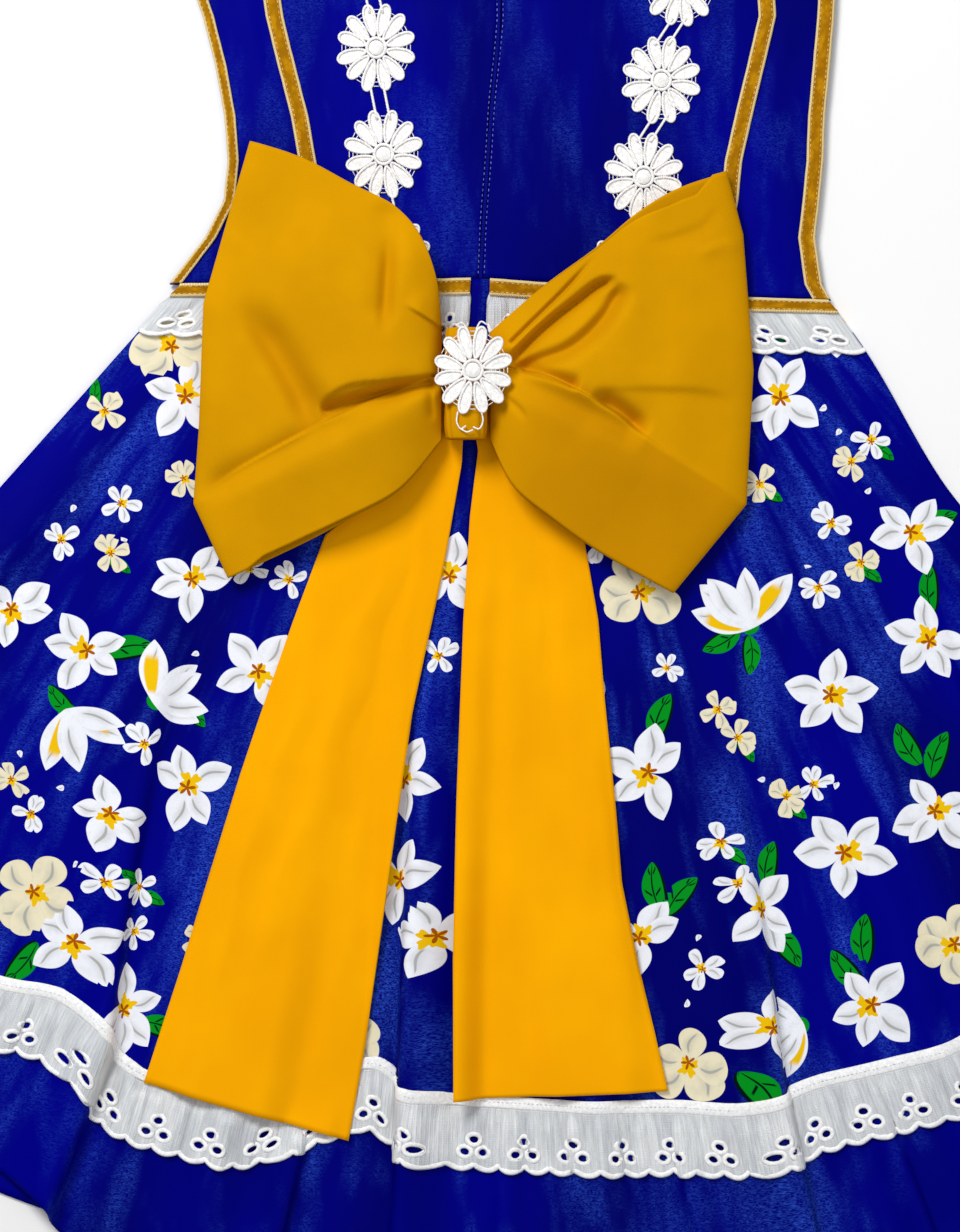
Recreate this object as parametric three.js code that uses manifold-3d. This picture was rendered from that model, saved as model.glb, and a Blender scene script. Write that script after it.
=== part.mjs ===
// A Chilean huasa dress laid flat on its front: bodice with a closed back zip, velvet ribbons and
// chains of guipure daisies, an eyelet frill at the waist, a printed half-circle skirt with eyelet
// lace over the hem seam, a plain flounce, and a large bow with two tails on the back waist.
//
// Millimetres. +X to the right seen from above, +Y from waist to neck, +Z up from the surface that
// the dress lies on. The origin is the middle of the front waist ribbon, on that surface.
import * as THREE from 'three';
import { mergeVertices } from 'three/addons/utils/BufferGeometryUtils.js';
import Module from 'manifold-3d';

const wasm = await Module();
wasm.setup();

// ---- driving dimensions ----
const CLOTH = 1.2; // wall of bodice, skirt, flounce and tails
const LACE = 1.0; // wall of eyelet lace
const RIBBON = 0.9; // wall of velvet ribbon
const BOW_WALL = 1.5; // bow cloth, which is used double
const SEAM = 0.3; // distance between neighbouring pieces
const WAIST_SEAM = 0.5; // the same where the straight bodice meets the skirt's rays
const HEM_GAP = 1; // the same at the hem seam, where folds turn the edges

const RIBBON_WIDTH = 10;
const FRILL_DEPTH = 31; // what shows of the waist frill below the ribbon
const HEM_LACE_DEPTH = 39;
const BINDING_WIDTH = 6;
const FLOUNCE_DEPTH = 108;
const APEX_Y = 225.6; // where the skirt's straight rays would meet
const LEFT_SIDE_DEG = 41.7; // side folds of the skirt, as rays from the apex
const RIGHT_SIDE_TOP_DEG = 41.2;
const RIGHT_SIDE_HEM_DEG = 38.5;
const RIGHT_SIDE_RADII = [300, 440]; // the right side swings in between these radii

// Heights of the layers above the surface.
const FRONT_STEP = 1.3; // the front cloth is lifted by this over its own trims
const BACK_BASE = FRONT_STEP + CLOTH + SEAM; // underside of the back cloth
const TRIM_Z = BACK_BASE + CLOTH + SEAM; // underside of what lies on the back cloth
const TAIL_LIFT = 2.1; // tails above the skirt, clear of the hem lace
const BOW_BASE = BACK_BASE + CLOTH + TAIL_LIFT + CLOTH + SEAM; // underside of the bow's loops

// Bodice outline: x of each seam by height y.
const BODICE_ROWS = [
  { y: -12, side_left: -201, princess_left: -99, zip: -12.6, princess_right: 127, side_right: 206 },
  { y: 10, side_left: -199, princess_left: -101, zip: -12, princess_right: 130, side_right: 194 },
  { y: 38, side_left: -177.6, princess_left: -106.5, zip: -10.5, princess_right: 134, side_right: 190 },
  { y: 60, side_left: -166.5, princess_left: -111, zip: -9, princess_right: 138, side_right: 192.6 },
  { y: 84, side_left: -164, princess_left: -115.8, zip: -7.5, princess_right: 140.4, side_right: 195 },
  { y: 111, side_left: -166, princess_left: -120.5, zip: -5.5, princess_right: 146.5, side_right: 196 },
  { y: 142, side_left: -171.6, princess_left: -128.5, zip: -2.6, princess_right: 154, side_right: 199 },
  { y: 171, side_left: -179, princess_left: -135.6, zip: 0, princess_right: 160.8, side_right: 201.5 },
  { y: 203, side_left: -190, princess_left: -140, zip: 0, princess_right: 159, side_right: 203 },
  { y: 224, side_left: -177, princess_left: -139.5, zip: 0, princess_right: 155, side_right: 186 },
  { y: 260, side_left: -168, princess_left: -137.5, zip: 0, princess_right: 148, side_right: 172 },
  { y: 310, side_left: -168, princess_left: -135, zip: 0, princess_right: 141, side_right: 170 },
  { y: 350, side_left: -177, princess_left: -133, zip: 0, princess_right: 137, side_right: 178 },
  { y: 392, side_left: -190, princess_left: -131, zip: 0, princess_right: 133, side_right: 190 },
];
const SHOULDER_Y = 400; // neck point
const SHOULDER_SLOPE = 0.17;
const NECK_HALF = 75;
const BACK_NECK_DEPTH = 25;
const FRONT_NECK_DEPTH = 70;

// Upper edge of the waist ribbon on the back, and the straight waist of the front.
const BACK_WAIST = [
  { x: -201, y: 10 },
  { x: -12, y: 14 },
  { x: 150, y: 2 },
  { x: 206, y: 0 },
];
const FRONT_WAIST = [
  { x: -201, y: 10 },
  { x: 206, y: 0 },
];
const ZIP_GAP_LEFT = -17.4; // waist trims stop here on either side of the zip
const ZIP_GAP_RIGHT = -6;

// Radius of the hem seam from the apex, by angle from straight down; folds draw it in and out.
const HEM_SEAM = [
  { deg: -41.7, r: 712 },
  { deg: -32, r: 716 },
  { deg: -25.1, r: 707 },
  { deg: -22.7, r: 698 },
  { deg: -21.4, r: 699 },
  { deg: -19.6, r: 715 },
  { deg: -18.2, r: 725 },
  { deg: -16.9, r: 728 },
  { deg: -11.9, r: 727 },
  { deg: -8.6, r: 704 },
  { deg: -6.9, r: 692 },
  { deg: -5.9, r: 688 },
  { deg: -4.4, r: 708 },
  { deg: 1.4, r: 712 },
  { deg: 8.4, r: 721 },
  { deg: 11.8, r: 732 },
  { deg: 15.2, r: 724 },
  { deg: 22.2, r: 731 },
  { deg: 32, r: 718 },
  { deg: 41.2, r: 712 },
];

// Folds of the back skirt: angle where it starts and at the hem, start radius, height, half width,
// and how far the crest leans over to the right (+) or left (-), as a share of the height.
const SKIRT_FOLDS = [
  { start: -40.5, hem: -34.5, from: 350, high: 9, half: 17, lean: 0.6 },
  { start: -27.5, hem: -20.3, from: 360, high: 13, half: 20, lean: 0.8 },
  { start: -14, hem: -13, from: 430, high: 7, half: 24, lean: 0.2 },
  { start: -5.2, hem: -3.6, from: 350, high: 14, half: 19, lean: -0.85 },
  { start: 4.5, hem: 4.5, from: 470, high: 6, half: 22, lean: 0.2 },
  { start: 15.5, hem: 12.6, from: 420, high: 12, half: 18, lean: 0.8 },
  { start: 22.5, hem: 21, from: 480, high: 7, half: 22, lean: 0.3 },
  { start: 38, hem: 28.5, from: 300, high: 11, half: 18, lean: -0.7 },
];
// More folds that begin at the hem seam, in the flounce alone.
const FLOUNCE_FOLDS = [
  { start: -38.5, hem: -38.8, high: 8, half: 12, lean: -0.5 },
  { start: -28.5, hem: -29, high: 9, half: 13, lean: 0.6 },
  { start: -9.6, hem: -10.2, high: 8, half: 11, lean: 0.7 },
  { start: 0.5, hem: 0.2, high: 6, half: 13, lean: -0.3 },
  { start: 8.8, hem: 9, high: 7, half: 11, lean: -0.6 },
  { start: 17.4, hem: 17.8, high: 8, half: 12, lean: 0.6 },
  { start: 25, hem: 25.2, high: 7, half: 12, lean: 0.4 },
  { start: 34, hem: 34.5, high: 8, half: 13, lean: -0.5 },
];
const FOLD_FULL_RADIUS = 716; // skirt folds reach their whole height here

// ---- colours ----
const BLUE = { color: 0x0a1680, roughness: 0.55 };
const WHITE = { color: 0xf2f2ee, roughness: 0.8 };
const GOLD = { color: 0xc08a14, roughness: 0.75 };
const MUSTARD = { color: 0xd99c00, roughness: 0.6 };
const METAL = { color: 0x1a2466, roughness: 0.35, metalness: 0.4 };

const dress = new THREE.Group();
const radians = THREE.MathUtils.degToRad;
const lerp = THREE.MathUtils.lerp;
const clamp = THREE.MathUtils.clamp;
const smooth = (t) => THREE.MathUtils.smoothstep(t, 0, 1);

/** Adds one named piece to the dress. */
function add(name, geometry, finish) {
  const mesh = new THREE.Mesh(geometry, new THREE.MeshStandardMaterial(finish));
  mesh.name = name;
  dress.add(mesh);
}

/** Column `value` of a table at `at` in column `key`, straight between the rows. */
function table(rows, key, value, at) {
  if (at <= rows[0][key]) return rows[0][value];
  for (let i = 1; i < rows.length; i++) {
    if (at <= rows[i][key]) {
      const low = rows[i - 1];
      const t = (at - low[key]) / (rows[i][key] - low[key]);
      return lerp(low[value], rows[i][value], t);
    }
  }
  return rows[rows.length - 1][value];
}

/** Unit normal of the surface at(u, v), pointing to the side that u x v points to. */
function normalOf(at, u, v) {
  const step = 1e-3;
  const du = at(Math.min(u + step, 1), v).sub(at(Math.max(u - step, 0), v));
  const dv = at(u, Math.min(v + step, 1)).sub(at(u, Math.max(v - step, 0)));
  return du.cross(dv).normalize();
}

/**
 * A wall of cloth: the surface at(u, v) moved out along its normal by `under` and by
 * `under + wall`, closed along its four edges. us and vs are the stops from 0 to 1.
 */
function wall(at, us, vs, under, thickness) {
  const position = [];
  const index = [];
  const columns = vs.length;
  const layer = us.length * columns;
  for (const out of [under, under + thickness]) {
    for (const u of us) {
      for (const v of vs) {
        const p = at(u, v).addScaledVector(normalOf(at, u, v), out);
        position.push(p.x, p.y, p.z);
      }
    }
  }
  const quad = (a, b, c, d) => index.push(a, b, c, a, c, d);
  for (let i = 0; i + 1 < us.length; i++) {
    for (let j = 0; j + 1 < columns; j++) {
      const a = i * columns + j;
      const b = a + columns;
      quad(a + layer, b + layer, b + 1 + layer, a + 1 + layer);
      quad(a, a + 1, b + 1, b);
    }
  }
  const edge = (a, b) => quad(a, b, b + layer, a + layer);
  for (let i = 0; i + 1 < us.length; i++) {
    edge(i * columns, (i + 1) * columns);
    edge((i + 2) * columns - 1, (i + 1) * columns - 1);
  }
  for (let j = 0; j + 1 < columns; j++) {
    edge((us.length - 1) * columns + j, (us.length - 1) * columns + j + 1);
    edge(j + 1, j);
  }
  const geometry = new THREE.BufferGeometry();
  geometry.setAttribute('position', new THREE.Float32BufferAttribute(position, 3));
  geometry.setIndex(index);
  return geometry;
}

/** n + 1 even stops from 0 to 1. */
const stops = (n) => Array.from({ length: n + 1 }, (_, i) => i / n);

// ---- booleans ----
function solid(geometry) {
  const bare = geometry.clone();
  bare.deleteAttribute('normal');
  bare.deleteAttribute('uv');
  const merged = mergeVertices(bare, 1e-4);
  const mesh = new wasm.Mesh({
    numProp: 3,
    vertProperties: new Float32Array(merged.attributes.position.array),
    triVerts: new Uint32Array(merged.index.array),
  });
  return new wasm.Manifold(mesh);
}

function geometryOf(manifold) {
  const mesh = manifold.getMesh();
  const geometry = new THREE.BufferGeometry();
  geometry.setAttribute('position', new THREE.BufferAttribute(mesh.vertProperties.slice(), 3));
  geometry.setIndex(new THREE.BufferAttribute(mesh.triVerts.slice(), 1));
  return geometry;
}

const union = (solids) => solids.reduce((whole, next) => whole.add(next));

/** A box from its low to its high corner. */
function box(low, high) {
  const [w, d, h] = high.map((value, i) => value - low[i]);
  return new THREE.BoxGeometry(w, d, h).translate(low[0] + w / 2, low[1] + d / 2, low[2] + h / 2);
}

// ---- bodice ----
const seamX = (column, y) => table(BODICE_ROWS, 'y', column, y);
const backWaistY = (x) => table(BACK_WAIST, 'x', 'y', x);
const frontWaistY = (x) => table(FRONT_WAIST, 'x', 'y', x);

/** Top edge of the bodice: the neck's curve, then the sloping shoulder. */
function topY(x, neckDepth) {
  const from = Math.abs(x);
  if (from >= NECK_HALF) return SHOULDER_Y - (from - NECK_HALF) * SHOULDER_SLOPE;
  return SHOULDER_Y - neckDepth * (1 - (from / NECK_HALF) ** 2.4) ** 0.7;
}

const EDGE_ROUND = 12; // the back cloth comes down to the front's over this width at the sides
const SIDE_DROP = BACK_BASE - CLOTH - SEAM;

/** Underside height of the back bodice: it meets the front along sides and shoulders. */
function backBodiceZ(x, y) {
  const fromSide = Math.min(x - seamX('side_left', y), seamX('side_right', y) - x);
  const fromTop = Math.abs(x) > NECK_HALF ? topY(x, 0) - y : EDGE_ROUND;
  const nearWaist = smooth((y - backWaistY(x) - 8) / EDGE_ROUND);
  const inside = smooth(Math.min(fromSide, fromTop) / EDGE_ROUND);
  return BACK_BASE - SIDE_DROP * (1 - inside) * nearWaist;
}

/** A bodice panel between two seams; the ends of u are the seams, v runs from waist to top. */
function panelAt(left, right, waistY, neckDepth, z) {
  return (u, v) => {
    const low = lerp(seamX(left, 6), seamX(right, 6), u);
    const high = lerp(seamX(left, 390), seamX(right, 390), u);
    const y = lerp(waistY(low), topY(high, neckDepth), v);
    const x = lerp(seamX(left, y) + SEAM / 2, seamX(right, y) - SEAM / 2, u);
    return new THREE.Vector3(x, y, z(x, y));
  };
}

const ZIP_HALF = 1.2;
const ZIP_COLUMNS = { left: 'zip_left', right: 'zip_right' };
for (const row of BODICE_ROWS) {
  row[ZIP_COLUMNS.left] = row.zip - ZIP_HALF;
  row[ZIP_COLUMNS.right] = row.zip + ZIP_HALF;
}

const panelRows = stops(13);
const BACK_PANELS = [
  { name: 'bodice_back_side_left', left: 'side_left', right: 'princess_left', us: [0, 0.1, 0.25, 0.6, 1] },
  { name: 'bodice_back_centre_left', left: 'princess_left', right: 'zip_left', us: stops(3) },
  { name: 'bodice_back_centre_right', left: 'zip_right', right: 'princess_right', us: stops(3) },
  { name: 'bodice_back_side_right', left: 'princess_right', right: 'side_right', us: [0, 0.4, 0.75, 0.9, 1] },
];
for (const { name, left, right, us } of BACK_PANELS) {
  const at = panelAt(left, right, backWaistY, BACK_NECK_DEPTH, backBodiceZ);
  add(name, wall(at, us, panelRows, 0, CLOTH), BLUE);
}

/** The front lies on the surface and steps over its waist ribbon. */
function frontBodiceZ(x, y) {
  return FRONT_STEP * (1 - smooth((y - frontWaistY(x) - 3) / EDGE_ROUND));
}
const frontBodiceAt = panelAt('side_left', 'side_right', frontWaistY, FRONT_NECK_DEPTH, frontBodiceZ);
const frontRows = [0, 0.01, 0.025, 0.045, ...stops(10).slice(1)];
add('bodice_front', wall(frontBodiceAt, stops(10), frontRows, 0, CLOTH), BLUE);

// ---- zip, closed, with its slider below the neck ----
const SLIDER_Y = 350;
const ZIP_TOP_Y = SHOULDER_Y - BACK_NECK_DEPTH - 4;
const zipAt = (u, v) => {
  const y = lerp(backWaistY(seamX('zip', 10)), ZIP_TOP_Y, v);
  const half = ZIP_HALF - SEAM;
  return new THREE.Vector3(seamX('zip', y) + lerp(-half, half, u), y, BACK_BASE);
};
add('zip_coil', wall(zipAt, [0, 1], stops(10), 0, CLOTH), METAL);

const PIN_Z = TRIM_Z + 3;
const PIN_RADIUS = 0.6;
const EYE = { outer: 1.6, inner: 0.95, width: 2.6 };
const TAB = { length: 17, width: 4.4, thick: 1 };
const slider = union([
  solid(box([-3.2, SLIDER_Y - 5, TRIM_Z], [3.2, SLIDER_Y + 4, TRIM_Z + 1.1])),
  solid(box([-2.8, SLIDER_Y - 1.3, TRIM_Z + 0.5], [-1.7, SLIDER_Y + 1.3, PIN_Z + 1.2])),
  solid(box([1.7, SLIDER_Y - 1.3, TRIM_Z + 0.5], [2.8, SLIDER_Y + 1.3, PIN_Z + 1.2])),
  solid(new THREE.CylinderGeometry(PIN_RADIUS, PIN_RADIUS, 5, 8)
    .rotateZ(Math.PI / 2)
    .translate(0, SLIDER_Y, PIN_Z)),
]);
add('zip_slider', geometryOf(slider), METAL);

const bore = solid(new THREE.CylinderGeometry(EYE.inner, EYE.inner, 8, 12)
  .rotateZ(Math.PI / 2)
  .translate(0, SLIDER_Y, PIN_Z));
const eye = solid(new THREE.CylinderGeometry(EYE.outer, EYE.outer, EYE.width, 12)
  .rotateZ(Math.PI / 2)
  .translate(0, SLIDER_Y, PIN_Z));
const tabZ = PIN_Z - EYE.outer + 0.2;
const neck = solid(box([-1.3, SLIDER_Y - 5, tabZ], [1.3, SLIDER_Y - 0.3, tabZ + TAB.thick]));
const tabLow = [-TAB.width / 2, SLIDER_Y - TAB.length, tabZ];
const tab = solid(box(tabLow, [TAB.width / 2, SLIDER_Y - 4.2, tabZ + TAB.thick]));
add('zip_pull', geometryOf(union([eye, neck, tab]).subtract(bore)), METAL);

// ---- skirt, flounce and laces, as one surface in polar coordinates about the apex ----
/** Angle in degrees across the back or front at q from -1 (left side) to 1 (right side). */
function angleAt(q, r) {
  if (q < 0) return q * LEFT_SIDE_DEG;
  const [inner, outer] = RIGHT_SIDE_RADII;
  return q * lerp(RIGHT_SIDE_TOP_DEG, RIGHT_SIDE_HEM_DEG, smooth((r - inner) / (outer - inner)));
}

/** Radius at which a ray crosses the waist line, found by repeating the line's height there. */
function waistRadius(deg, waistY) {
  const slope = Math.tan(radians(deg));
  let y = 0;
  for (let i = 0; i < 4; i++) y = waistY((APEX_Y - y) * slope);
  return (APEX_Y - y) / Math.cos(radians(deg));
}

const hemSeamRadius = (deg) => table(HEM_SEAM, 'deg', 'r', deg);

/** Height of all folds at an angle and radius, and how far they lean sideways, in mm. */
function foldsAt(deg, r) {
  let lift = 0;
  let lean = 0;
  for (const fold of [...SKIRT_FOLDS, ...FLOUNCE_FOLDS]) {
    const from = fold.from || hemSeamRadius(deg);
    const full = fold.from ? FOLD_FULL_RADIUS : from + FLOUNCE_DEPTH;
    const reach = clamp((r - from) / (full - from), 0, 1);
    const high = fold.high * smooth(fold.from ? reach : reach * 1.6);
    const centre = lerp(fold.start, fold.hem, reach);
    const aside = (radians(deg - centre) * r) / fold.half;
    if (Math.abs(aside) >= 1 || high <= 0) continue;
    const bump = high * Math.cos((aside * Math.PI) / 2) ** 2;
    lift += bump;
    lean += bump * fold.lean;
  }
  return { lift, lean };
}

/** Underside of the back cloth: it comes down to the front cloth at the side folds. */
function backAt(q, r) {
  const deg = angleAt(q, r);
  const { lift, lean } = foldsAt(deg, r);
  const a = radians(deg) + lean / r;
  const side = angleAt(Math.sign(q) || 1, r);
  const fromSide = radians(Math.abs(side - deg)) * r;
  const below = r - waistRadius(deg, backWaistY);
  const clearOfTrim = Math.min(below - 60, hemSeamRadius(deg) - 10 - r) / 40;
  const drop = SIDE_DROP * smooth(clearOfTrim) * (1 - smooth(fromSide / EDGE_ROUND));
  return new THREE.Vector3(r * Math.sin(a), APEX_Y - r * Math.cos(a), BACK_BASE - drop + lift);
}

/** Stretch of the back surface between two radii, with u from left to right and v up. */
function backBand(outer, inner, qLow = -1, qHigh = 1) {
  return (u, v) => {
    const q = lerp(qLow, qHigh, u);
    return backAt(q, lerp(outer(q, u), inner(q, u), v));
  };
}
const waistAt = (q) => waistRadius(angleAt(q, 0), backWaistY);
const frontWaistAt = (q) => waistRadius(angleAt(q, 0), frontWaistY);
const hemSeamAt = (q) => hemSeamRadius(angleAt(q, FOLD_FULL_RADIUS));

/** Even stops, with closer ones around each fold's crest. */
function foldStops(count, folds, close) {
  const set = new Set(stops(count).map((u) => Number(u.toFixed(4))));
  for (const fold of folds) {
    for (const side of [-1, -0.5, 0, 0.5, 1]) {
      const deg = fold.hem + (side * fold.half * 180) / Math.PI / 716;
      const q = deg < 0 ? deg / LEFT_SIDE_DEG : deg / RIGHT_SIDE_HEM_DEG;
      const u = (q + 1) / 2;
      if (u > 0.005 && u < 0.995) set.add(Number(u.toFixed(4)));
    }
  }
  const sorted = [...set].sort((a, b) => a - b);
  return sorted.filter((u, i) => i === 0 || i === sorted.length - 1 || u - sorted[i - 1] > close);
}

const skirtStops = foldStops(28, [...SKIRT_FOLDS, ...FLOUNCE_FOLDS], 0.009);
const SKIRT_ROWS = [0, 0.016, ...stops(7).slice(1)];
const skirtBack = backBand((q) => hemSeamAt(q) - HEM_GAP, (q) => waistAt(q) + WAIST_SEAM);
add('skirt_back', wall(skirtBack, skirtStops, SKIRT_ROWS, 0, CLOTH), BLUE);

const flounceBack = backBand((q) => hemSeamAt(q) + FLOUNCE_DEPTH, hemSeamAt);
add('flounce_back', wall(flounceBack, skirtStops, [0, 0.3, 0.62, 1], 0, CLOTH), BLUE);

// Eyelet laces: a scalloped edge and three holes in each repeat.
const HEM_LACE = { repeats: 34, scallops: 2, scallopDepth: 3, hole: [3, 2.7], clear: 0.2 };
const FRILL = { repeat: 27, scallops: 2, scallopDepth: 2.4, hole: [2.8, 2.3] };
const EYELET_SIDES = 4;
const EYELETS = [
  { along: 0.5, up: 0.5 },
  { along: 0.33, up: 0.3 },
  { along: 0.67, up: 0.3 },
];

/** Depth taken off a scalloped edge at `turns` scallops along it. */
const scallop = (turns, depth) => depth * (1 - Math.abs(Math.sin(Math.PI * turns)) ** 0.8);

/** Cuts a small oval hole through a wall whose underside is at(u, v) + under. */
function eyelet(at, u, v, [halfWide, halfHigh], under) {
  const out = normalOf(at, u, v);
  const centre = at(u, v).addScaledVector(out, under + LACE / 2);
  const along = at(Math.min(u + 1e-3, 1), v).sub(at(u - 1e-3, v)).normalize();
  const up = out.clone().cross(along);
  const cut = new THREE.CylinderGeometry(1, 1, 3, EYELET_SIDES);
  const place = new THREE.Matrix4().makeBasis(
    along.multiplyScalar(halfWide),
    out,
    up.multiplyScalar(-halfHigh),
  );
  return solid(cut.applyMatrix4(place.setPosition(centre)));
}

/** Straight between the stops of a coarser wall, so that what lies on it keeps clear of it. */
function faceted(at, us) {
  return (u, v) => {
    let i = 1;
    while (i < us.length - 1 && us[i] < u) i++;
    const t = clamp((u - us[i - 1]) / (us[i] - us[i - 1]), 0, 1);
    return at(us[i - 1], v).lerp(at(us[i], v), t);
  };
}

/** The stops of a scalloped edge, joined with those of the wall below it. */
function joinedStops(edge, below) {
  const apart = edge.filter((u) => below.every((other) => Math.abs(u - other) > 0.0035));
  return [...apart, ...below].sort((a, b) => a - b);
}

const laceStops = joinedStops(stops(HEM_LACE.repeats * HEM_LACE.scallops * 2), skirtStops);
const laceInset = HEM_GAP / FLOUNCE_DEPTH;
const laceShare = HEM_LACE_DEPTH / FLOUNCE_DEPTH;
const flounceFacets = faceted(flounceBack, skirtStops);
const hemLaceBack = (u, v) => {
  const turns = u * HEM_LACE.repeats * HEM_LACE.scallops;
  const edge = laceShare - scallop(turns, HEM_LACE.scallopDepth) / FLOUNCE_DEPTH;
  return flounceFacets(u, 1 - lerp(edge, laceInset, v));
};
const overCloth = CLOTH + SEAM;
const overFlounce = overCloth + HEM_LACE.clear;
let hemLace = solid(wall(hemLaceBack, laceStops, [0, 1], overFlounce, LACE));
const hemHoles = [];
for (let i = 0; i < HEM_LACE.repeats; i++) {
  for (const { along, up } of EYELETS) {
    hemHoles.push(eyelet(hemLaceBack, (i + along) / HEM_LACE.repeats, up, HEM_LACE.hole, overFlounce));
  }
}
hemLace = hemLace.subtract(union(hemHoles));
add('hem_lace_back', geometryOf(hemLace), WHITE);

const bindingBack = backBand(
  (q) => hemSeamAt(q) - HEM_GAP,
  (q) => hemSeamAt(q) - HEM_GAP - BINDING_WIDTH,
);
add('hem_lace_binding_back', wall(bindingBack, skirtStops, [0, 1], overFlounce, LACE), WHITE);

/** q at which a ray leaves the waist at this x. */
function qAtWaist(x) {
  const deg = THREE.MathUtils.radToDeg(Math.atan2(x, APEX_Y - backWaistY(x)));
  return deg < 0 ? deg / LEFT_SIDE_DEG : deg / RIGHT_SIDE_TOP_DEG;
}

const FRILL_PARTS = [
  { name: 'waist_lace_back_left', from: -1, to: qAtWaist(ZIP_GAP_LEFT), width: 182 },
  { name: 'waist_lace_back_right', from: qAtWaist(ZIP_GAP_RIGHT), to: 1, width: 210 },
];
for (const { name, from, to, width } of FRILL_PARTS) {
  const repeats = Math.round(width / FRILL.repeat);
  const at = backBand(
    (q, u) => waistAt(q) + RIBBON_WIDTH + FRILL_DEPTH
      - scallop(u * repeats * FRILL.scallops, FRILL.scallopDepth),
    (q) => waistAt(q) + WAIST_SEAM,
    from,
    to,
  );
  const holes = [];
  for (let i = 0; i < repeats; i++) {
    for (const { along, up } of EYELETS) {
      holes.push(eyelet(at, (i + along) / repeats, up * 0.8, FRILL.hole, overCloth));
    }
  }
  const frill = solid(wall(at, stops(repeats * FRILL.scallops * 2), [0, 1], overCloth, LACE));
  add(name, geometryOf(frill.subtract(union(holes))), WHITE);
}

// Waist ribbons lie on the frill's heading.
const overLace = overCloth + LACE + SEAM;
const WAIST_RIBBONS = [
  { name: 'waist_ribbon_back_left', from: -1, to: qAtWaist(ZIP_GAP_LEFT) },
  { name: 'waist_ribbon_back_right', from: qAtWaist(ZIP_GAP_RIGHT), to: 1 },
];
for (const { name, from, to } of WAIST_RIBBONS) {
  const at = backBand(
    (q) => waistAt(q) + RIBBON_WIDTH,
    (q) => waistAt(q) + WAIST_SEAM,
    from,
    to,
  );
  add(name, wall(at, stops(10), [0, 1], overLace, RIBBON), GOLD);
}

// ---- front of the skirt, flat on the surface, stepping over its own trims ----
const FRONT_HEM_SEAM = 712;
const TRIM_DEPTH = RIBBON_WIDTH + FRILL_DEPTH;
const STEP_CLEAR = 3; // the cloth stays up this far past a trim's edge

/** Flat stretch of the front between two radii; z goes by the distance from the inner one. */
function frontBand(outer, inner, z, spread = (v, length) => (1 - v) * length) {
  return (u, v) => {
    const q = lerp(-1, 1, u);
    const start = inner(q);
    const down = spread(v, outer(q, u) - start);
    const r = start + down;
    const a = radians(angleAt(q, r));
    return new THREE.Vector3(r * Math.sin(a), APEX_Y - r * Math.cos(a), z(down));
  };
}

/** Gives the top share of v to the `depth` that lies over a trim. */
const trimSpread = (share, depth) => (v, length) => (
  v > 1 - share ? ((1 - v) / share) * depth : depth + (1 - v / (1 - share)) * (length - depth)
);
const stepDown = (depth) => (down) => FRONT_STEP * (1 - smooth((down - depth) / EDGE_ROUND));

const waistTrim = TRIM_DEPTH + STEP_CLEAR;
const skirtFront = frontBand(
  () => FRONT_HEM_SEAM - SEAM,
  (q) => frontWaistAt(q) + WAIST_SEAM,
  stepDown(waistTrim),
  trimSpread(0.2, waistTrim),
);
const frontStops = stops(28);
add('skirt_front', wall(skirtFront, frontStops, [0, 0.26, 0.52, 0.77, 0.8, 1], 0, CLOTH), BLUE);

const flat = () => 0;
const frontRibbon = frontBand((q) => frontWaistAt(q) + RIBBON_WIDTH, frontWaistAt, flat);
add('waist_ribbon_front', wall(frontRibbon, stops(10), [0, 1], 0, RIBBON), GOLD);

const FRONT_FRILL_SCALLOPS = 20;
const frontFrill = frontBand(
  (q, u) => frontWaistAt(q) + TRIM_DEPTH - scallop(u * FRONT_FRILL_SCALLOPS, FRILL.scallopDepth),
  (q) => frontWaistAt(q) + RIBBON_WIDTH + SEAM,
  flat,
);
add('waist_lace_front', wall(frontFrill, stops(FRONT_FRILL_SCALLOPS * 2), [0, 1], 0, LACE), WHITE);

const hemTrim = HEM_LACE_DEPTH + STEP_CLEAR;
const flounceFront = frontBand(
  () => FRONT_HEM_SEAM + FLOUNCE_DEPTH,
  () => FRONT_HEM_SEAM,
  stepDown(hemTrim),
  trimSpread(0.4, hemTrim),
);
add('flounce_front', wall(flounceFront, frontStops, [0, 0.48, 0.6, 1], 0, CLOTH), BLUE);

const FRONT_LACE_SCALLOPS = 28;
const hemLaceFront = frontBand(
  (q, u) => FRONT_HEM_SEAM + HEM_LACE_DEPTH - scallop(u * FRONT_LACE_SCALLOPS, HEM_LACE.scallopDepth),
  () => FRONT_HEM_SEAM,
  flat,
);
add('hem_lace_front', wall(hemLaceFront, stops(FRONT_LACE_SCALLOPS * 2), [0, 1], 0, LACE), WHITE);

// ---- velvet ribbons on the bodice seams ----
/** A ribbon along a seam of the back bodice; `inset` moves its middle off the seam. */
function seamRibbon(column, width, inset, topTrim) {
  return (u, v) => {
    const low = backWaistY(seamX(column, 6)) + 0.6;
    const y = lerp(low, topY(seamX(column, 390), 0) - topTrim, v);
    const x = seamX(column, y) + inset + lerp(-width / 2, width / 2, u);
    return new THREE.Vector3(x, y, BACK_BASE);
  };
}
const UNDERARM_TRIM = 180; // the side ribbons stop at the armholes
const SEAM_RIBBONS = [
  { name: 'ribbon_side_left', column: 'side_left', width: 6, inset: 3.6, topTrim: UNDERARM_TRIM },
  { name: 'ribbon_princess_left', column: 'princess_left', width: RIBBON_WIDTH, inset: 0, topTrim: 1 },
  { name: 'ribbon_princess_right', column: 'princess_right', width: RIBBON_WIDTH, inset: 0, topTrim: 1 },
  { name: 'ribbon_side_right', column: 'side_right', width: RIBBON_WIDTH, inset: -5.6, topTrim: UNDERARM_TRIM },
];
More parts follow.
